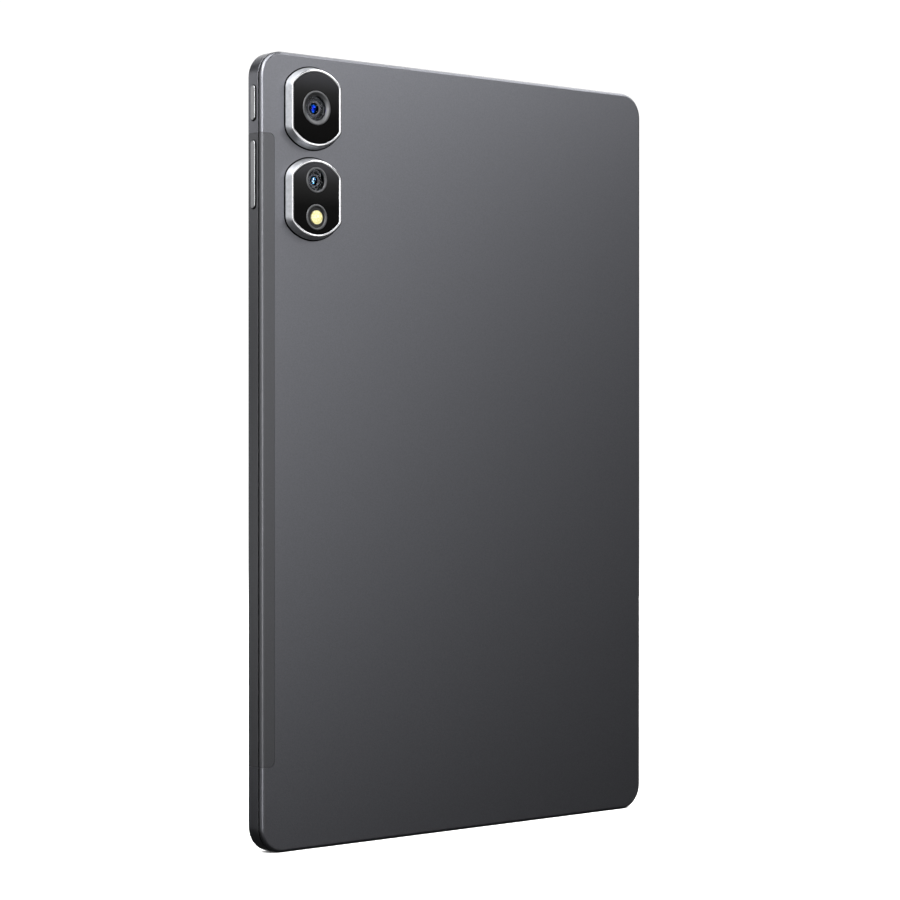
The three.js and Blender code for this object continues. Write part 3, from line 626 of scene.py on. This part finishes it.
def graphite():
    """The heat sheet's dull dark film."""
    s = Shader("graphite_film", Roughness=0.5, Metallic=0.4)
    s.colour(s.noise(1.0, 4), (0.3, (0.028, 0.029, 0.032)), (0.7, (0.045, 0.046, 0.050)))
    s.roughness(s.noise(2.5, 3), 0.4, 0.58)
    return s.bump(s.noise(0.5, 3), 0.004, 0.4).material


def wire_screen():
    """A woven black screen: crossing wires as relief."""
    s = Shader("wire_screen", Metallic=0.6, Roughness=0.5)
    weave = s.math("MULTIPLY", s.waves(s.part("X"), 0.16), s.waves(s.part("Y"), 0.16))
    s.colour(weave, (0.2, (0.004, 0.004, 0.004)), (0.8, (0.05, 0.05, 0.052)))
    return s.bump(weave, 0.03, 0.8).material


SHELL = blasted_metal("shell_metal", (0.117, 0.119, 0.130), (0.139, 0.141, 0.155))
# Painted highlight: the keys are the shell's metal made lighter, standing in for the light on their faces.
KEY_HIGHLIGHT_METAL = blasted_metal("key_metal_lightened", (0.22, 0.222, 0.229), (0.25, 0.252, 0.260), 0.34)
# Painted shade: near-black metal put on faces where shade falls, in gaps, in slots and under the cover's
# edge.
SHADE_PAINT = blasted_metal("painted_shade_metal", (0.006, 0.006, 0.006), (0.010, 0.010, 0.011), 0.7)
PLASTIC = window_plastic()
RIM = polished_rim()
WALL = satin_wall()
BLACK_GLASS = black_glass()
RING_METAL = turned_metal("ring_metal", (0.080, 0.081, 0.084), 0.48)
INNER_RING = turned_metal("inner_ring_metal", (0.05, 0.05, 0.053), 0.45)
LENS_COVER = lens_cover_glass()
BARREL_BLACK = ridged_black()
SCREEN = screen_glass()
BLACK_PLASTIC = black_plastic()
STEEL = sheet_metal("steel_sheet", (0.42, 0.43, 0.44), (0.56, 0.57, 0.58))
TINNED = sheet_metal("tinned_sheet", (0.52, 0.53, 0.54), (0.66, 0.67, 0.68), 0.38)
GOLD = turned_metal("gold_contact", (0.75, 0.50, 0.16), 0.25)
BOARD = circuit_board()
AMBER = amber_film()
FOIL = cell_foil()
FOAM = foam()
DIFFUSER = diffuser_film()
GRAPHITE = graphite()
PHOSPHOR = phosphor_lens()
WIRE_SCREEN = wire_screen()
MAIN_COATING = coated_lens("main_coating", (0.0, 0.008, 0.26), (0.002, 0.06, 0.24), PUPIL["main"])
SECOND_COATING = coated_lens("second_coating", (0.19, 0.28, 0.35), (0.01, 0.17, 0.36), PUPIL["second"])
FRONT_COATING = coated_lens("front_coating", (0.03, 0.05, 0.20), (0.08, 0.05, 0.25), PUPIL["front"])

MATERIAL_OF_SLOT = {
    "shell": SHELL,
    "window_plastic": PLASTIC,
    "bezel_metal": WALL,
    "black_glass": BLACK_GLASS,
    "lens_ring": RING_METAL,
    "lens_glass": LENS_COVER,
    "black_barrel": BARREL_BLACK,
    "phosphor": PHOSPHOR,
    "cover_glass": SCREEN,
    "display": SCREEN,
    "backlight": DIFFUSER,
    "adhesive": FOAM,
    "battery": FOIL,
    "circuit_board": BOARD,
    "shield": TINNED,
    "steel": STEEL,
    "flex": AMBER,
    "black_plastic": BLACK_PLASTIC,
    "graphite": GRAPHITE,
}


def paint_cad_nodes():
    """Gives every CAD node its slot's material. The finer pieces below replace the ones that show."""
    for part in frame["record"]["subparts"]:
        mesh = frame["nodes"][part["node"]].data
        mesh.materials.clear()
        mesh.materials.append(MATERIAL_OF_SLOT[part["material_slot"]])


# -------------------------------- cutters and small helpers


def mouth(size, place, reach, chamfer):
    """A round-ended opening's outlines, each with how far in it is. The last one is wider and outside."""
    for inwards, grow in ((reach, 0), (chamfer, 0), (-chamfer, 2 * chamfer)):
        yield pill(size[0] + 2 * grow, size[1] + 2 * grow, *place), inwards


def opening_in_side(size, place, side, reach=PAST, chamfer=0.12):
    """A cutter for an opening in the +X edge (side 1) or the -X edge (side -1), with a softened mouth.

    size and place are (depth, height).
    """
    stations = mouth(size, place, reach, chamfer)
    return loft("cutter", [at_x(outline, side * (EDGE_X - inwards)) for outline, inwards in stations])


def opening_in_end(size, place, end, chamfer=0.12):
    """A cutter for an opening in the top (end 1) or the bottom (end -1), with a softened mouth.

    size and place are (x, depth).
    """
    stations = mouth(size, place, PAST, chamfer)
    rings = [at_z(outline, MIDDLE_Z + end * (MIDDLE_Z - inwards)) for outline, inwards in stations]
    return loft("cutter", rings)


def box_cutter(x, depth, z):
    """A box between two places along X, two depths and two places along Z."""
    corners = [(x[0], z[0]), (x[1], z[0]), (x[1], z[1]), (x[0], z[1])]
    return prism("cutter", corners, *depth)


def recentre(obj, x, z):
    """Moves a piece's origin to the line at (x, z), and its material with it. Its shape stays in place."""
    place = point(x, 0, z)
    obj.data.transform(Matrix.Translation(-place))
    obj.location = place


def finish_where(obj, index, test):
    """Gives another of the piece's materials to the faces whose middles pass the test.

    The test takes (x, depth, z) in millimetres.
    """
    bpy.context.view_layer.update()
    for face in obj.data.polygons:
        x, y, z = obj.matrix_world @ face.center
        if test(x / MM, depth_of(y), z / MM):
            face.material_index = index


# -------------------------------- rear cover and its antenna window


def whole_cover(name):
    """The cover as if it were all metal: a shallow tray with a round outer edge."""
    section = [(COVER["rim_width"], COVER["plate"]), (COVER["rim_width"], COVER["rim"]), (0, COVER["rim"])]
    section += rounding(COVER["rounding"], 10)
    return loft(name, [in_depth(body_outline(inset), depth) for inset, depth in section])


def window_strip(inset):
    """The antenna window's strip, right through the cover. Half of it lies past the +X edge."""
    width = 2 * WINDOW["reach"] - 2 * inset
    height = WINDOW["top"] - WINDOW["bottom"] - 2 * inset
    middle = (WINDOW["top"] + WINDOW["bottom"]) / 2
    outline = rounded_rectangle(width, height, WINDOW["corner"], EDGE_X, middle)
    return prism("strip", outline, -PAST, 2 * PAST)


def island_hole(z):
    return prism("hole", island_outline(z, ISLAND["taper"] + ISLAND["gap"]), -PAST, 2 * PAST)


def rear_cover():
    cover = whole_cover("cover_metal")
    window = copy_of(cover, "cover_window")
    carve(cover, [window_strip(0)])
    carve(cover, [island_hole(UPPER_Z), island_hole(LOWER_Z)])
    carve(window, [window_strip(SEAM)], "INTERSECT")
    piece(cover, "tablet", SHELL, ["rear_cover"], angle=25)
    piece(window, "tablet", PLASTIC, ["rear_antenna_window"], angle=25)


# -------------------------------- side frame and its antenna window


def whole_frame(name):
    """The frame as if it were all metal: a flat band, a set-back neck and a ledge for the glass."""
    back_edge = rounding(FRAME_EDGE["back"], 3)
    front_edge = rounding(FRAME_EDGE["front"], 4)
    section = [(WALL_INSET, FRAME["neck"]), (NECK_INSET, FRAME["neck"]), (NECK_INSET, FRAME["band"])]
    section += [(inset, FRAME["band"] + down) for inset, down in reversed(back_edge)]
    section += [(inset, FRAME["front"] - up) for inset, up in front_edge]
    section += [(LIP_INSET, FRAME["front"]), (LIP_INSET, FRAME["ledge"]), (WALL_INSET, FRAME["ledge"])]
    return loft(name, [in_depth(body_outline(inset), depth) for inset, depth in section], closed=True)


def frame_strip(inset):
    """The part of the band that is plastic."""
    margin = 0.1
    return box_cutter(
        (EDGE_X - WINDOW["frame_depth"] + inset, EDGE_X + PAST),
        (FRAME["band"] - margin, FRAME["front"] + margin),
        (WINDOW["bottom"] + inset, WINDOW["top"] - inset),
    )


def key_slot(node):
    length = KEY_LENGTH[node] + 2 * KEY["end_clearance"]
    place = (EDGE_DEPTH, centre(node).z / MM)
    return opening_in_side((KEY["slot_width"], length), place, 1)


def grille_slots():
    size = (GRILLE["length"], GRILLE["height"])
    slots = []
    for end in (-1, 1):
        for row in (-1, 1):
            for i in range(GRILLE["slots"]):
                x = row * GRILLE["x"] + (i - (GRILLE["slots"] - 1) / 2) * GRILLE["pitch"]
                slots.append(opening_in_end(size, (x, EDGE_DEPTH), end))
    return slots


def side_frame():
    frame_metal = whole_frame("frame_metal")
    window = copy_of(frame_metal, "frame_window")
    carve(frame_metal, [frame_strip(0)])
    carve(frame_metal, [key_slot("power_key"), key_slot("volume_key")])
    clearance = 0.2
    usb_low, usb_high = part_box("usb_receptacle")
    usb_size = ((usb_high.x - usb_low.x) / MM + clearance, (usb_high.y - usb_low.y) / MM + clearance)
    usb = opening_in_end(usb_size, (0, EDGE_DEPTH), -1, chamfer=0.2)
    pinhole = (0.9, 0.9)
    microphone = opening_in_end(pinhole, (centre("microphone").x / MM, EDGE_DEPTH), -1, chamfer=0.08)
    tray_size = (TRAY["cap_height"] + clearance, TRAY["cap_length"] + clearance)
    tray = opening_in_side(tray_size, (TRAY["depth"], TRAY["middle"]), -1, chamfer=0.08)
    carve(frame_metal, [usb, microphone, tray] + grille_slots())
    carve(window, [frame_strip(SEAM)], "INTERSECT")
    carve(window, [key_slot("volume_key")])
    piece(frame_metal, "tablet", [SHELL, SHADE_PAINT], ["side_frame"])
    piece(window, "tablet", [PLASTIC, SHADE_PAINT], ["frame_antenna_window"])
    # Painted shade: the groove under the cover and the insides of the key slots are made near-black.
    for obj in (frame_metal, window):
        finish_where(obj, 1, in_shade)


# Each key's middle along Z, and how far its slot reaches from there with a small margin.
KEY_SPANS = [(centre(key).z / MM, length / 2 + 0.3) for key, length in KEY_LENGTH.items()]


def in_shade(x, depth, z):
    """Whether a face of the frame gets painted shade: in the groove below the cover, or inside a key's
    slot.
    """
    in_groove = FRAME["neck"] < depth < FRAME["band"] + 0.03
    below_surface = 0.02 < EDGE_X - x < PAST
    beside_key = any(abs(z - middle) < reach for middle, reach in KEY_SPANS)
    in_key_band = abs(depth - EDGE_DEPTH) < KEY["slot_width"] / 2 + 0.15
    return in_groove or (below_surface and beside_key and in_key_band)


def grille_meshes():
    """A fine black wire screen behind each row of slots."""
    width = GRILLE["slots"] * GRILLE["pitch"]
    for end, end_name in ((-1, "bottom"), (1, "top")):
        for row, row_name in ((-1, "tray_side"), (1, "key_side")):
            x = row * GRILLE["x"]
            near, far = (MIDDLE_Z + end * (MIDDLE_Z - WALL_INSET - inwards) for inwards in (0.02, 0.12))
            outline = rounded_rectangle(width, GRILLE["height"] + 1, 0.4, x, EDGE_DEPTH, 4)
            screen = prism_along_z(f"grille_screen_{end_name}_{row_name}", outline, near, far)
            piece(screen, "tablet", WIRE_SCREEN)


# -------------------------------- camera islands


def bezel(name, node, z):
    """A tapered satin wall with a polished rim, a seat for the black plate and a flange below the cover;
    painted shade on the wall's foot and the flange.
    """
    seat = PLATE_BOTTOM + 0.05
    throat = -1.85
    flange, flange_top = 1.6, 0.9
    taper, rim = ISLAND["taper"], ISLAND["rim"]
    top = -ISLAND_HEIGHT
    section = [(throat, seat), (throat, COVER["rim"]), (flange, COVER["rim"]), (flange, flange_top)]
    section += [(taper, flange_top), (taper, 0)]
    wall_top = (0.04, top + 0.15)
    section += [(taper + (wall_top[0] - taper) * t, wall_top[1] * t) for t in (FOOT, 0.4, 0.7, 1)]
    section += [(0.0, top + 0.08), (-0.05, top + 0.03), (-0.12, top)]
    section += [(-rim + 0.28, top), (-rim + 0.12, top + 0.05), (-rim, top + 0.18), (-rim, seat)]
    obj = loft(name, [in_depth(island_outline(z, offset), depth) for offset, depth in section], closed=True)
    piece(obj, "tablet", [WALL, RIM, SHADE_PAINT], [node], angle=40)
    finish_where(obj, 1, lambda x, depth, z: depth < top + 0.04)
    # Painted shade: the wall's foot and the flange are made near-black, as the shade of the gap round the
    # island.
    finish_where(obj, 2, lambda x, depth, z: wall_top[1] * FOOT < depth < COVER["rim"])


def plate(name, node, z, rings):
    """The black plate in a bezel, with a softened edge and a round hole for each (z, radius)."""
    top = PLATE_TOP
    clearance = 0.05
    outer = -ISLAND["rim"] - clearance
    section = [(outer, PLATE_BOTTOM), (outer, top + 0.08), (outer - 0.03, top + 0.02), (outer - 0.1, top)]
    obj = loft(name, [in_depth(island_outline(z, offset), depth) for offset, depth in section])
    cutters = []
    for ring_z, radius in rings:
        r = radius + clearance
        profile = [(0, top - 0.3), (r + 0.36, top - 0.3), (r, top + 0.06), (r, 0), (0, 0)]
        cutters.append(turned("cutter", ISLAND_X, ring_z, profile))
    carve(obj, cutters)
    recentre(obj, ISLAND_X, z)
    piece(obj, "tablet", BLACK_GLASS, [node])


def lens_ring(name, node, z, outer, inner):
    """A turned ring: a rounded outer edge, a dished face with fine steps and a thin inner lip."""
    top = PLATE_TOP
    back = PLATE_BOTTOM - 0.1
    lip, steps = 0.62, 3
    dish = [(outer - 0.45, top - 0.12), (outer - lip, top - 0.08)]
    run = outer - lip - (inner + 0.22)
    for i in range(1, steps + 1):
        r = outer - lip - run * i / steps
        depth = top - 0.08 + 0.38 * i / steps
        dish += [(r + 0.05, depth - 0.03), (r, depth)]
    profile = [(outer, back), (outer, top - 0.01), (outer - 0.06, top - 0.06)]
    profile += [(outer - 0.16, top - 0.1), (outer - 0.3, top - 0.12)] + dish
    profile += [(inner + 0.1, top + 0.33), (inner + 0.02, top + 0.38), (inner, top + 0.45), (inner, back)]
    obj = turned(name, ISLAND_X, z, profile)
    piece(obj, "tablet", RING_METAL, [node], angle=30)


def disc_size(node):
    """A round CAD node's radius and the depths of its back and front faces."""
    low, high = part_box(node)
    return (high.x - low.x) / MM / 2, depth_of(high.y), depth_of(low.y)


def lens_cover(name, node, z):
    """A clear disc with bevelled edges over a lens."""
    radius, top, bottom = disc_size(node)
    profile = [(0, top), (radius - 0.1, top), (radius, top + 0.08)]
    profile += [(radius, bottom - 0.08), (radius - 0.1, bottom), (0, bottom)]
    obj = turned(name, ISLAND_X, z, profile)
    piece(obj, "tablet", LENS_COVER, [node])


def dome(radius, top, sag, steps):
    """A shallow convex cap's (radius, depth) points, from its middle outwards."""
    return [(radius * i / steps, top + sag * (i / steps) ** 2) for i in range(steps + 1)]


def element_curve(radius, top):
    """A front element's (radius, depth) points: a convex middle inside a hollow ring.

    It mirrors a light twice, above and below the middle, as the several surfaces of a real lens do.
    """
    steepest, middle, steps = 0.33, 0.5, 20
    points = []
    for i in range(steps + 1):
        share = i / steps
        outer = max(0, share - middle)
        fall = steepest * min(share, middle) ** 2 / (2 * middle)
        rise = 0.25 * outer + 0.1 * outer**2
        points.append((radius * share, top + radius * (fall - rise)))
    return points


def barrel(name, node, body, z, pupil, coating):
    """A black lens barrel with stepped baffles, and its coated front element as a piece of its own."""
    radius, top, bottom = disc_size(node)
    ring = pupil + 0.7
    land = top + 0.35
    steps = 3
    profile = [(0, top + 0.95), (pupil + 0.02, top + 0.95), (pupil + 0.02, top + 0.42)]
    profile += [(pupil + 0.1, land), (ring - 0.06, land), (ring, top + 0.3)]
    for i in range(steps):
        r = ring + (radius - 0.15 - ring) * (i + 1) / steps
        depth = top + 0.3 * (1 - (i + 1) / steps)
        profile += [(r - 0.08, depth + 0.1), (r, depth)]
    profile += [(radius - 0.05, top), (radius, top + 0.06), (radius, bottom), (0, bottom)]
    obj = turned(name, ISLAND_X, z, profile)
    piece(obj, body, [BARREL_BLACK, INNER_RING], [node], angle=30)

    def on_inner_land(face_x, face_depth, face_z):
        from_axis = math.hypot(face_x - ISLAND_X, face_z - z)
        return pupil + 0.1 < from_axis < ring and face_depth < land + 0.05

    finish_where(obj, 1, on_inner_land)
    element_profile = element_curve(pupil, top + 0.5) + [(pupil, top + 0.93), (0, top + 0.93)]
    element = turned(f"{name}_front_element", ISLAND_X, z, element_profile)
    piece(element, body, coating, angle=30)


def flash():
    """The flash: a black surround in its ring, with a low clear dome over the yellow lamp."""
    radius, top, bottom = disc_size("flash_lens")
    inner = LAMP["radius"]
    face = top + LAMP["rise"]
    surround = [(inner + 0.02, bottom), (inner + 0.02, top + 0.42), (inner + 0.12, face), (radius, face)]
    obj = turned("flash_surround", ISLAND_X, FLASH_Z, surround + [(radius, bottom)])
    piece(obj, "tablet", BARREL_BLACK, ["flash_lens"], angle=30)
    lamp = dome(inner, top, LAMP["rise"], 10) + [(inner, bottom), (0, bottom)]
    obj = turned("flash_dome", ISLAND_X + LAMP["aside"], FLASH_Z, lamp)
    piece(obj, "tablet", PHOSPHOR, angle=30)


def camera_islands():
    bezel("upper_bezel", "main_camera_bezel", UPPER_Z)
    bezel("lower_bezel", "second_camera_bezel", LOWER_Z)
    lower_holes = [(SECOND_Z, RING["second"][0]), (FLASH_Z, RING["flash"][0])]
    plate("upper_plate", "main_camera_window", UPPER_Z, [(UPPER_Z, RING["main"][0])])
    plate("lower_plate", "second_camera_window", LOWER_Z, lower_holes)
    lens_ring("main_ring", "main_lens_ring", UPPER_Z, *RING["main"])
    lens_ring("second_ring", "second_lens_ring", SECOND_Z, *RING["second"])
    lens_ring("lamp_ring", "flash_ring", FLASH_Z, *RING["flash"])
    lens_cover("main_cover", "main_lens_cover", UPPER_Z)
    lens_cover("second_cover", "second_lens_cover", SECOND_Z)
    main, second = "main_camera_barrel", "second_camera_barrel"
    barrel("main_barrel", main, "main_camera_barrel", UPPER_Z, PUPIL["main"], MAIN_COATING)
    barrel("second_barrel", second, "tablet", SECOND_Z, PUPIL["second"], SECOND_COATING)
    flash()


# -------------------------------- keys


def key_cap(name, node):
    """A round-ended key with a soft edge, and a flange inside the frame that keeps it in."""
    low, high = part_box(node)
    length = KEY_LENGTH[node]
    width = KEY["width"]
    z = centre(node).z / MM
    inner, outer = low.x / MM, high.x / MM
    edge, flange = 0.3, 0.5
    steps = [(inner, flange), (inner + flange, flange), (inner + flange, 0)]
    steps += [(outer - down, -inset) for inset, down in rounding(edge, 6)]
    rings = []
    for x, grow in steps:
        rings.append(at_x(pill(width + 2 * grow, length + 2 * grow, EDGE_DEPTH, z, 12), x))
    cap = piece(loft(name, rings), node, [KEY_HIGHLIGHT_METAL, SHADE_PAINT], [node], angle=40)
    # Painted shade: the key's sides and flange below the frame's surface are made near-black, as the shade
    # in its slot.
    finish_where(cap, 1, lambda x, depth, z: x < EDGE_X)


# -------------------------------- screen and front camera


def cover_glass():
    """The front glass with a rounded edge, open over the front camera for a lens of its own."""
    low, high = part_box("cover_glass")
    inset = (cover_high.x - high.x) / MM
    back, front = depth_of(high.y), depth_of(low.y)
    edge = 0.3
    section = [(inset + 0.1, back), (inset, back + 0.1)]
    section += [(inset + i, front - down) for i, down in rounding(edge, 6)]
    glass = loft("front_glass", [in_depth(body_outline(i), depth) for i, depth in section])
    x, z = centre("front_camera").x / MM, centre("front_camera").z / MM
    hole, past, sides = EYE + 0.04, 20, 48
    carve(glass, [turned("cutter", x, z, [(0, 0), (hole, 0), (hole, past), (0, past)], sides)])
    piece(glass, "tablet", SCREEN, ["cover_glass"])
    face, sill, rest, pupil = front - 0.02, back + 0.2, back + 0.15, PUPIL["front"]
    inlay = [(0, face), (EYE - 0.05, face), (EYE, front - 0.07), (EYE, sill), (0, sill)]
    piece(turned("front_camera_window", x, z, inlay, sides), "tablet", LENS_COVER)
    cup = [(0, back - 0.02), (EYE, back - 0.02), (EYE, rest), (pupil + 0.35, rest)]
    cup += [(pupil + 0.05, back + 0.05), (0, back + 0.05)]
    piece(turned("front_camera_cup", x, z, cup, sides), "tablet", BARREL_BLACK)
    lens = [(0, back + 0.06), (pupil, back + 0.06), (pupil * 0.6, back + 0.12), (0, rest)]
    piece(turned("front_camera_element", x, z, lens, sides), "tablet", FRONT_COATING)


# -------------------------------- connector


def rounded_box(name, x, depth, z, radius):
    """A block with rounded corners seen along Z."""
    width, height = x[1] - x[0], depth[1] - depth[0]
    middle_x, middle_depth = (x[0] + x[1]) / 2, (depth[0] + depth[1]) / 2
    return prism_along_z(name, rounded_rectangle(width, height, radius, middle_x, middle_depth, 4), *z)


def connector():
    """A drawn steel shell with a rounded mouth, and a tongue with two rows of gold contacts."""
    low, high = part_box("usb_receptacle")
    width, height = (high.x - low.x) / MM, (high.y - low.y) / MM
    front, end = low.z / MM, high.z / MM
    wall, floor = 0.25, 0.6
    stations = [(end, 0), (front + 0.12, 0), (front + 0.03, -0.04), (front, -0.12)]
    stations += [(front + 0.03, -wall + 0.04), (front + 0.12, -wall), (end - floor, -wall)]
    rings = []
    for z, grow in stations:
        rings.append(at_z(pill(width + 2 * grow, height + 2 * grow, 0, EDGE_DEPTH, 12), z))
    piece(loft("usb_shell", rings), "tablet", STEEL, ["usb_receptacle"], angle=40)
    low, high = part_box("usb_tongue")
    half = (high.x - low.x) / MM / 2
    top, bottom = depth_of(high.y), depth_of(low.y)
    front, end = low.z / MM, high.z / MM
    tongue = rounded_box("usb_tongue_body", (-half, half), (top, bottom), (front, end), 0.3)
    piece(tongue, "tablet", BLACK_PLASTIC, ["usb_tongue"])
    pads = []
    for i in range(USB_PADS["count"]):
        x = (i - (USB_PADS["count"] - 1) / 2) * USB_PADS["pitch"]
        sides = (x - USB_PADS["half_width"], x + USB_PADS["half_width"])
        for depth in ((top - 0.03, top + 0.1), (bottom - 0.1, bottom + 0.03)):
            pads.append(rounded_box("pad", sides, depth, (front + 0.45, end - 1), 0.02))
    piece(joined("usb_contacts", pads), "tablet", GOLD)


# -------------------------------- card tray


def card_tray():
    """The drawer: a cap that fills its slot, a frame with two card wells and a hole for the eject pin."""
    low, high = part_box("card_tray")
    outer, tail = low.x / MM, high.x / MM
    depth, thickness = TRAY["depth"], TRAY["cap_thickness"]
    rings = []
    for inset, down in reversed([(0, thickness)] + rounding(0.2, 4)):
        height, length = TRAY["cap_height"] - 2 * inset, TRAY["cap_length"] - 2 * inset
        rings.append(at_x(pill(height, length, depth, TRAY["middle"], 12), outer + down))
    tray = loft("tray", rings)
    overlap = 0.1
    shelf_width = tail - outer - thickness + overlap
    shelf_x = (tail + outer + thickness - overlap) / 2
    shelf = rounded_rectangle(shelf_width, SHELF[1] - SHELF[0], 0.6, shelf_x, sum(SHELF) / 2, 5)
    carve(tray, [prism("shelf", shelf, depth - 0.4, depth + 0.4)], "UNION")
    wells = []
    for x0, x1 in WELLS_ALONG_X:
        outline = rounded_rectangle(x1 - x0, WELL[1] - WELL[0], 0.8, (x0 + x1) / 2, sum(WELL) / 2, 5)
        wells.append(prism("well", outline, depth - PAST, depth + PAST))
    pin = opening_in_side((1, 1), (depth, centre("eject_rod").z / MM), -1, reach=2, chamfer=0.1)
    carve(tray, wells + [pin])
    piece(tray, "card_tray", SHELL, ["card_tray"])


# -------------------------------- floor, light and camera


def floor():
    """A plain pale floor under the tablet."""
    half = 6  # metres
    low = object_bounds()[0]
    outline = [(-half, -half), (half, -half), (half, half), (-half, half)]
    builder = bmesh.new()
    builder.faces.new([builder.verts.new((x, y, low.z)) for x, y in outline])
    obj = new_object("floor", builder)
    s = Shader("floor", Roughness=0.9, Specular_IOR_Level=0.0)
    s.colour(s.noise(200, 2), (0.3, grey(0.96)), (0.7, grey(0.98)))
    obj.data.materials.append(s.material)
    obj.visible_glossy = False
    obj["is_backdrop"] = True


def world(brightness, reflected):
    """A white studio, which is much weaker in reflections: there the lights do the work."""
    made = bpy.data.worlds.new("world")
    made.use_nodes = True
    made.cycles.sampling_method = "NONE"
    tree = made.node_tree
    background = tree.nodes["Background"]
    background.inputs["Color"].default_value = (*grey(1.0), 1)
    ray = tree.nodes.new("ShaderNodeLightPath")
    strength = tree.nodes.new("ShaderNodeMapRange")
    strength.inputs["To Min"].default_value = brightness
    strength.inputs["To Max"].default_value = reflected
    tree.links.new(ray.outputs["Is Glossy Ray"], strength.inputs["Value"])
    tree.links.new(strength.outputs["Result"], background.inputs["Strength"])
    bpy.context.scene.world = made


# Where the camera looks from, measured from the middle of the tablet's body, in millimetres.
TURN = math.radians(40.449)  # round the tablet, from straight behind towards its keys
PITCH = math.radians(0.1326)
DISTANCE = 876.61
ASIDE = -1.947  # to the right of the middle
ABOVE = 0.571
LENS_LENGTH = 102.41


def view_axes():
    """The camera's directions: backwards, to the right and up."""
    level = Vector((math.sin(TURN), math.cos(TURN), 0))
    up = Vector((0, 0, 1))
    backwards = level * math.cos(PITCH) + up * math.sin(PITCH)
    upwards = up * math.cos(PITCH) - level * math.sin(PITCH)
    right = Vector((-math.cos(TURN), math.sin(TURN), 0))
    return backwards, right, upwards


BODY_MIDDLE = Vector((0, BACK_Y - THICKNESS / 2 * MM, MIDDLE_Z * MM))


def camera():
    data = bpy.data.cameras.new("camera")
    data.lens = LENS_LENGTH
    data.sensor_width = 36
    data.clip_start, data.clip_end = 0.01, 20
    obj = bpy.data.objects.new("camera", data)
    bpy.context.scene.collection.objects.link(obj)
    backwards, right, upwards = view_axes()
    obj.rotation_mode = "QUATERNION"
    obj.rotation_quaternion = Matrix((right, upwards, backwards)).transposed().to_quaternion()
    obj.location = BODY_MIDDLE + (backwards * DISTANCE + right * ASIDE + upwards * ABOVE) * MM
    bpy.context.scene.camera = obj


# Each light's name, watts, azimuth, elevation, distance in metres, and width and height in metres.
LIGHTS = [
    ("back_strip", 3.6, 168, 16, 1.2, (0.3, 0.8)),
    ("back_high", 2.7, 205, 12, 1.5, (0.6, 0.6)),
    ("back_low", 1.25, 195, -4, 1.4, (0.8, 0.15)),
    ("back_spot", 3.7, 222, 30, 1.2, (0.3, 0.3)),
    ("corner", 3.3, 130, 35, 0.55, (0.3, 0.3)),
    ("edge_strip", 3.8, 146, 10, 1.2, (0.25, 0.9)),
    ("edge_low", 2.4, 146, -3, 1.2, (0.25, 0.12)),
    ("top_edge", 8.0, 268, 47, 1.0, (1.0, 0.6)),
    ("island_walls", 3.5, 96, 8, 1.2, (0.5, 0.8)),
    ("island_arcs", 6.5, 100, 52, 1.0, (0.4, 0.4)),
    ("overhead", 7.0, 150, 72, 1.0, (0.5, 0.5)),
    ("side_near", 0.13, 40, 23, 0.435, (0.15, 0.15)),
    ("side_low", 0.15, 40, 15, 1.2, (0.5, 0.8)),
    ("side_floor", 0.42, 40, -3, 1.2, (0.4, 0.15)),
    ("side_high", 4.0, 45, 62, 1.1, (0.8, 0.6)),
    ("front", 4.5, 335, 25, 1.6, (0.9, 0.9)),
    ("tray_side", 4.0, 315, 10, 1.3, (0.5, 0.8)),
]


def soft_light(name, watts, azimuth, elevation, distance, size):
    """A rectangular light aimed at the tablet's middle.

    Azimuth 0 is in front of the screen, 90 beside the keys and 180 behind the back.
    """
    data = bpy.data.lights.new(name, "AREA")
    data.shape = "RECTANGLE"
    data.size, data.size_y = size
    data.energy = watts
    obj = bpy.data.objects.new(name, data)
    bpy.context.scene.collection.objects.link(obj)
    a, e = math.radians(azimuth), math.radians(elevation)
    direction = Vector((math.sin(a) * math.cos(e), -math.cos(a) * math.cos(e), math.sin(e)))
    obj.location = BODY_MIDDLE + direction * distance
    obj.rotation_mode = "QUATERNION"
    obj.rotation_quaternion = direction.to_track_quat("Z", "Y")


# -------------------------------- the scene

paint_cad_nodes()
rear_cover()
side_frame()
grille_meshes()
camera_islands()
key_cap("power_key_cap", "power_key")
key_cap("volume_key_cap", "volume_key")
cover_glass()
connector()
card_tray()
floor()
world(brightness=1.06, reflected=0.03)
camera()
for light in LIGHTS:
    soft_light(*light)
bpy.context.scene.view_settings.view_transform = "Standard"
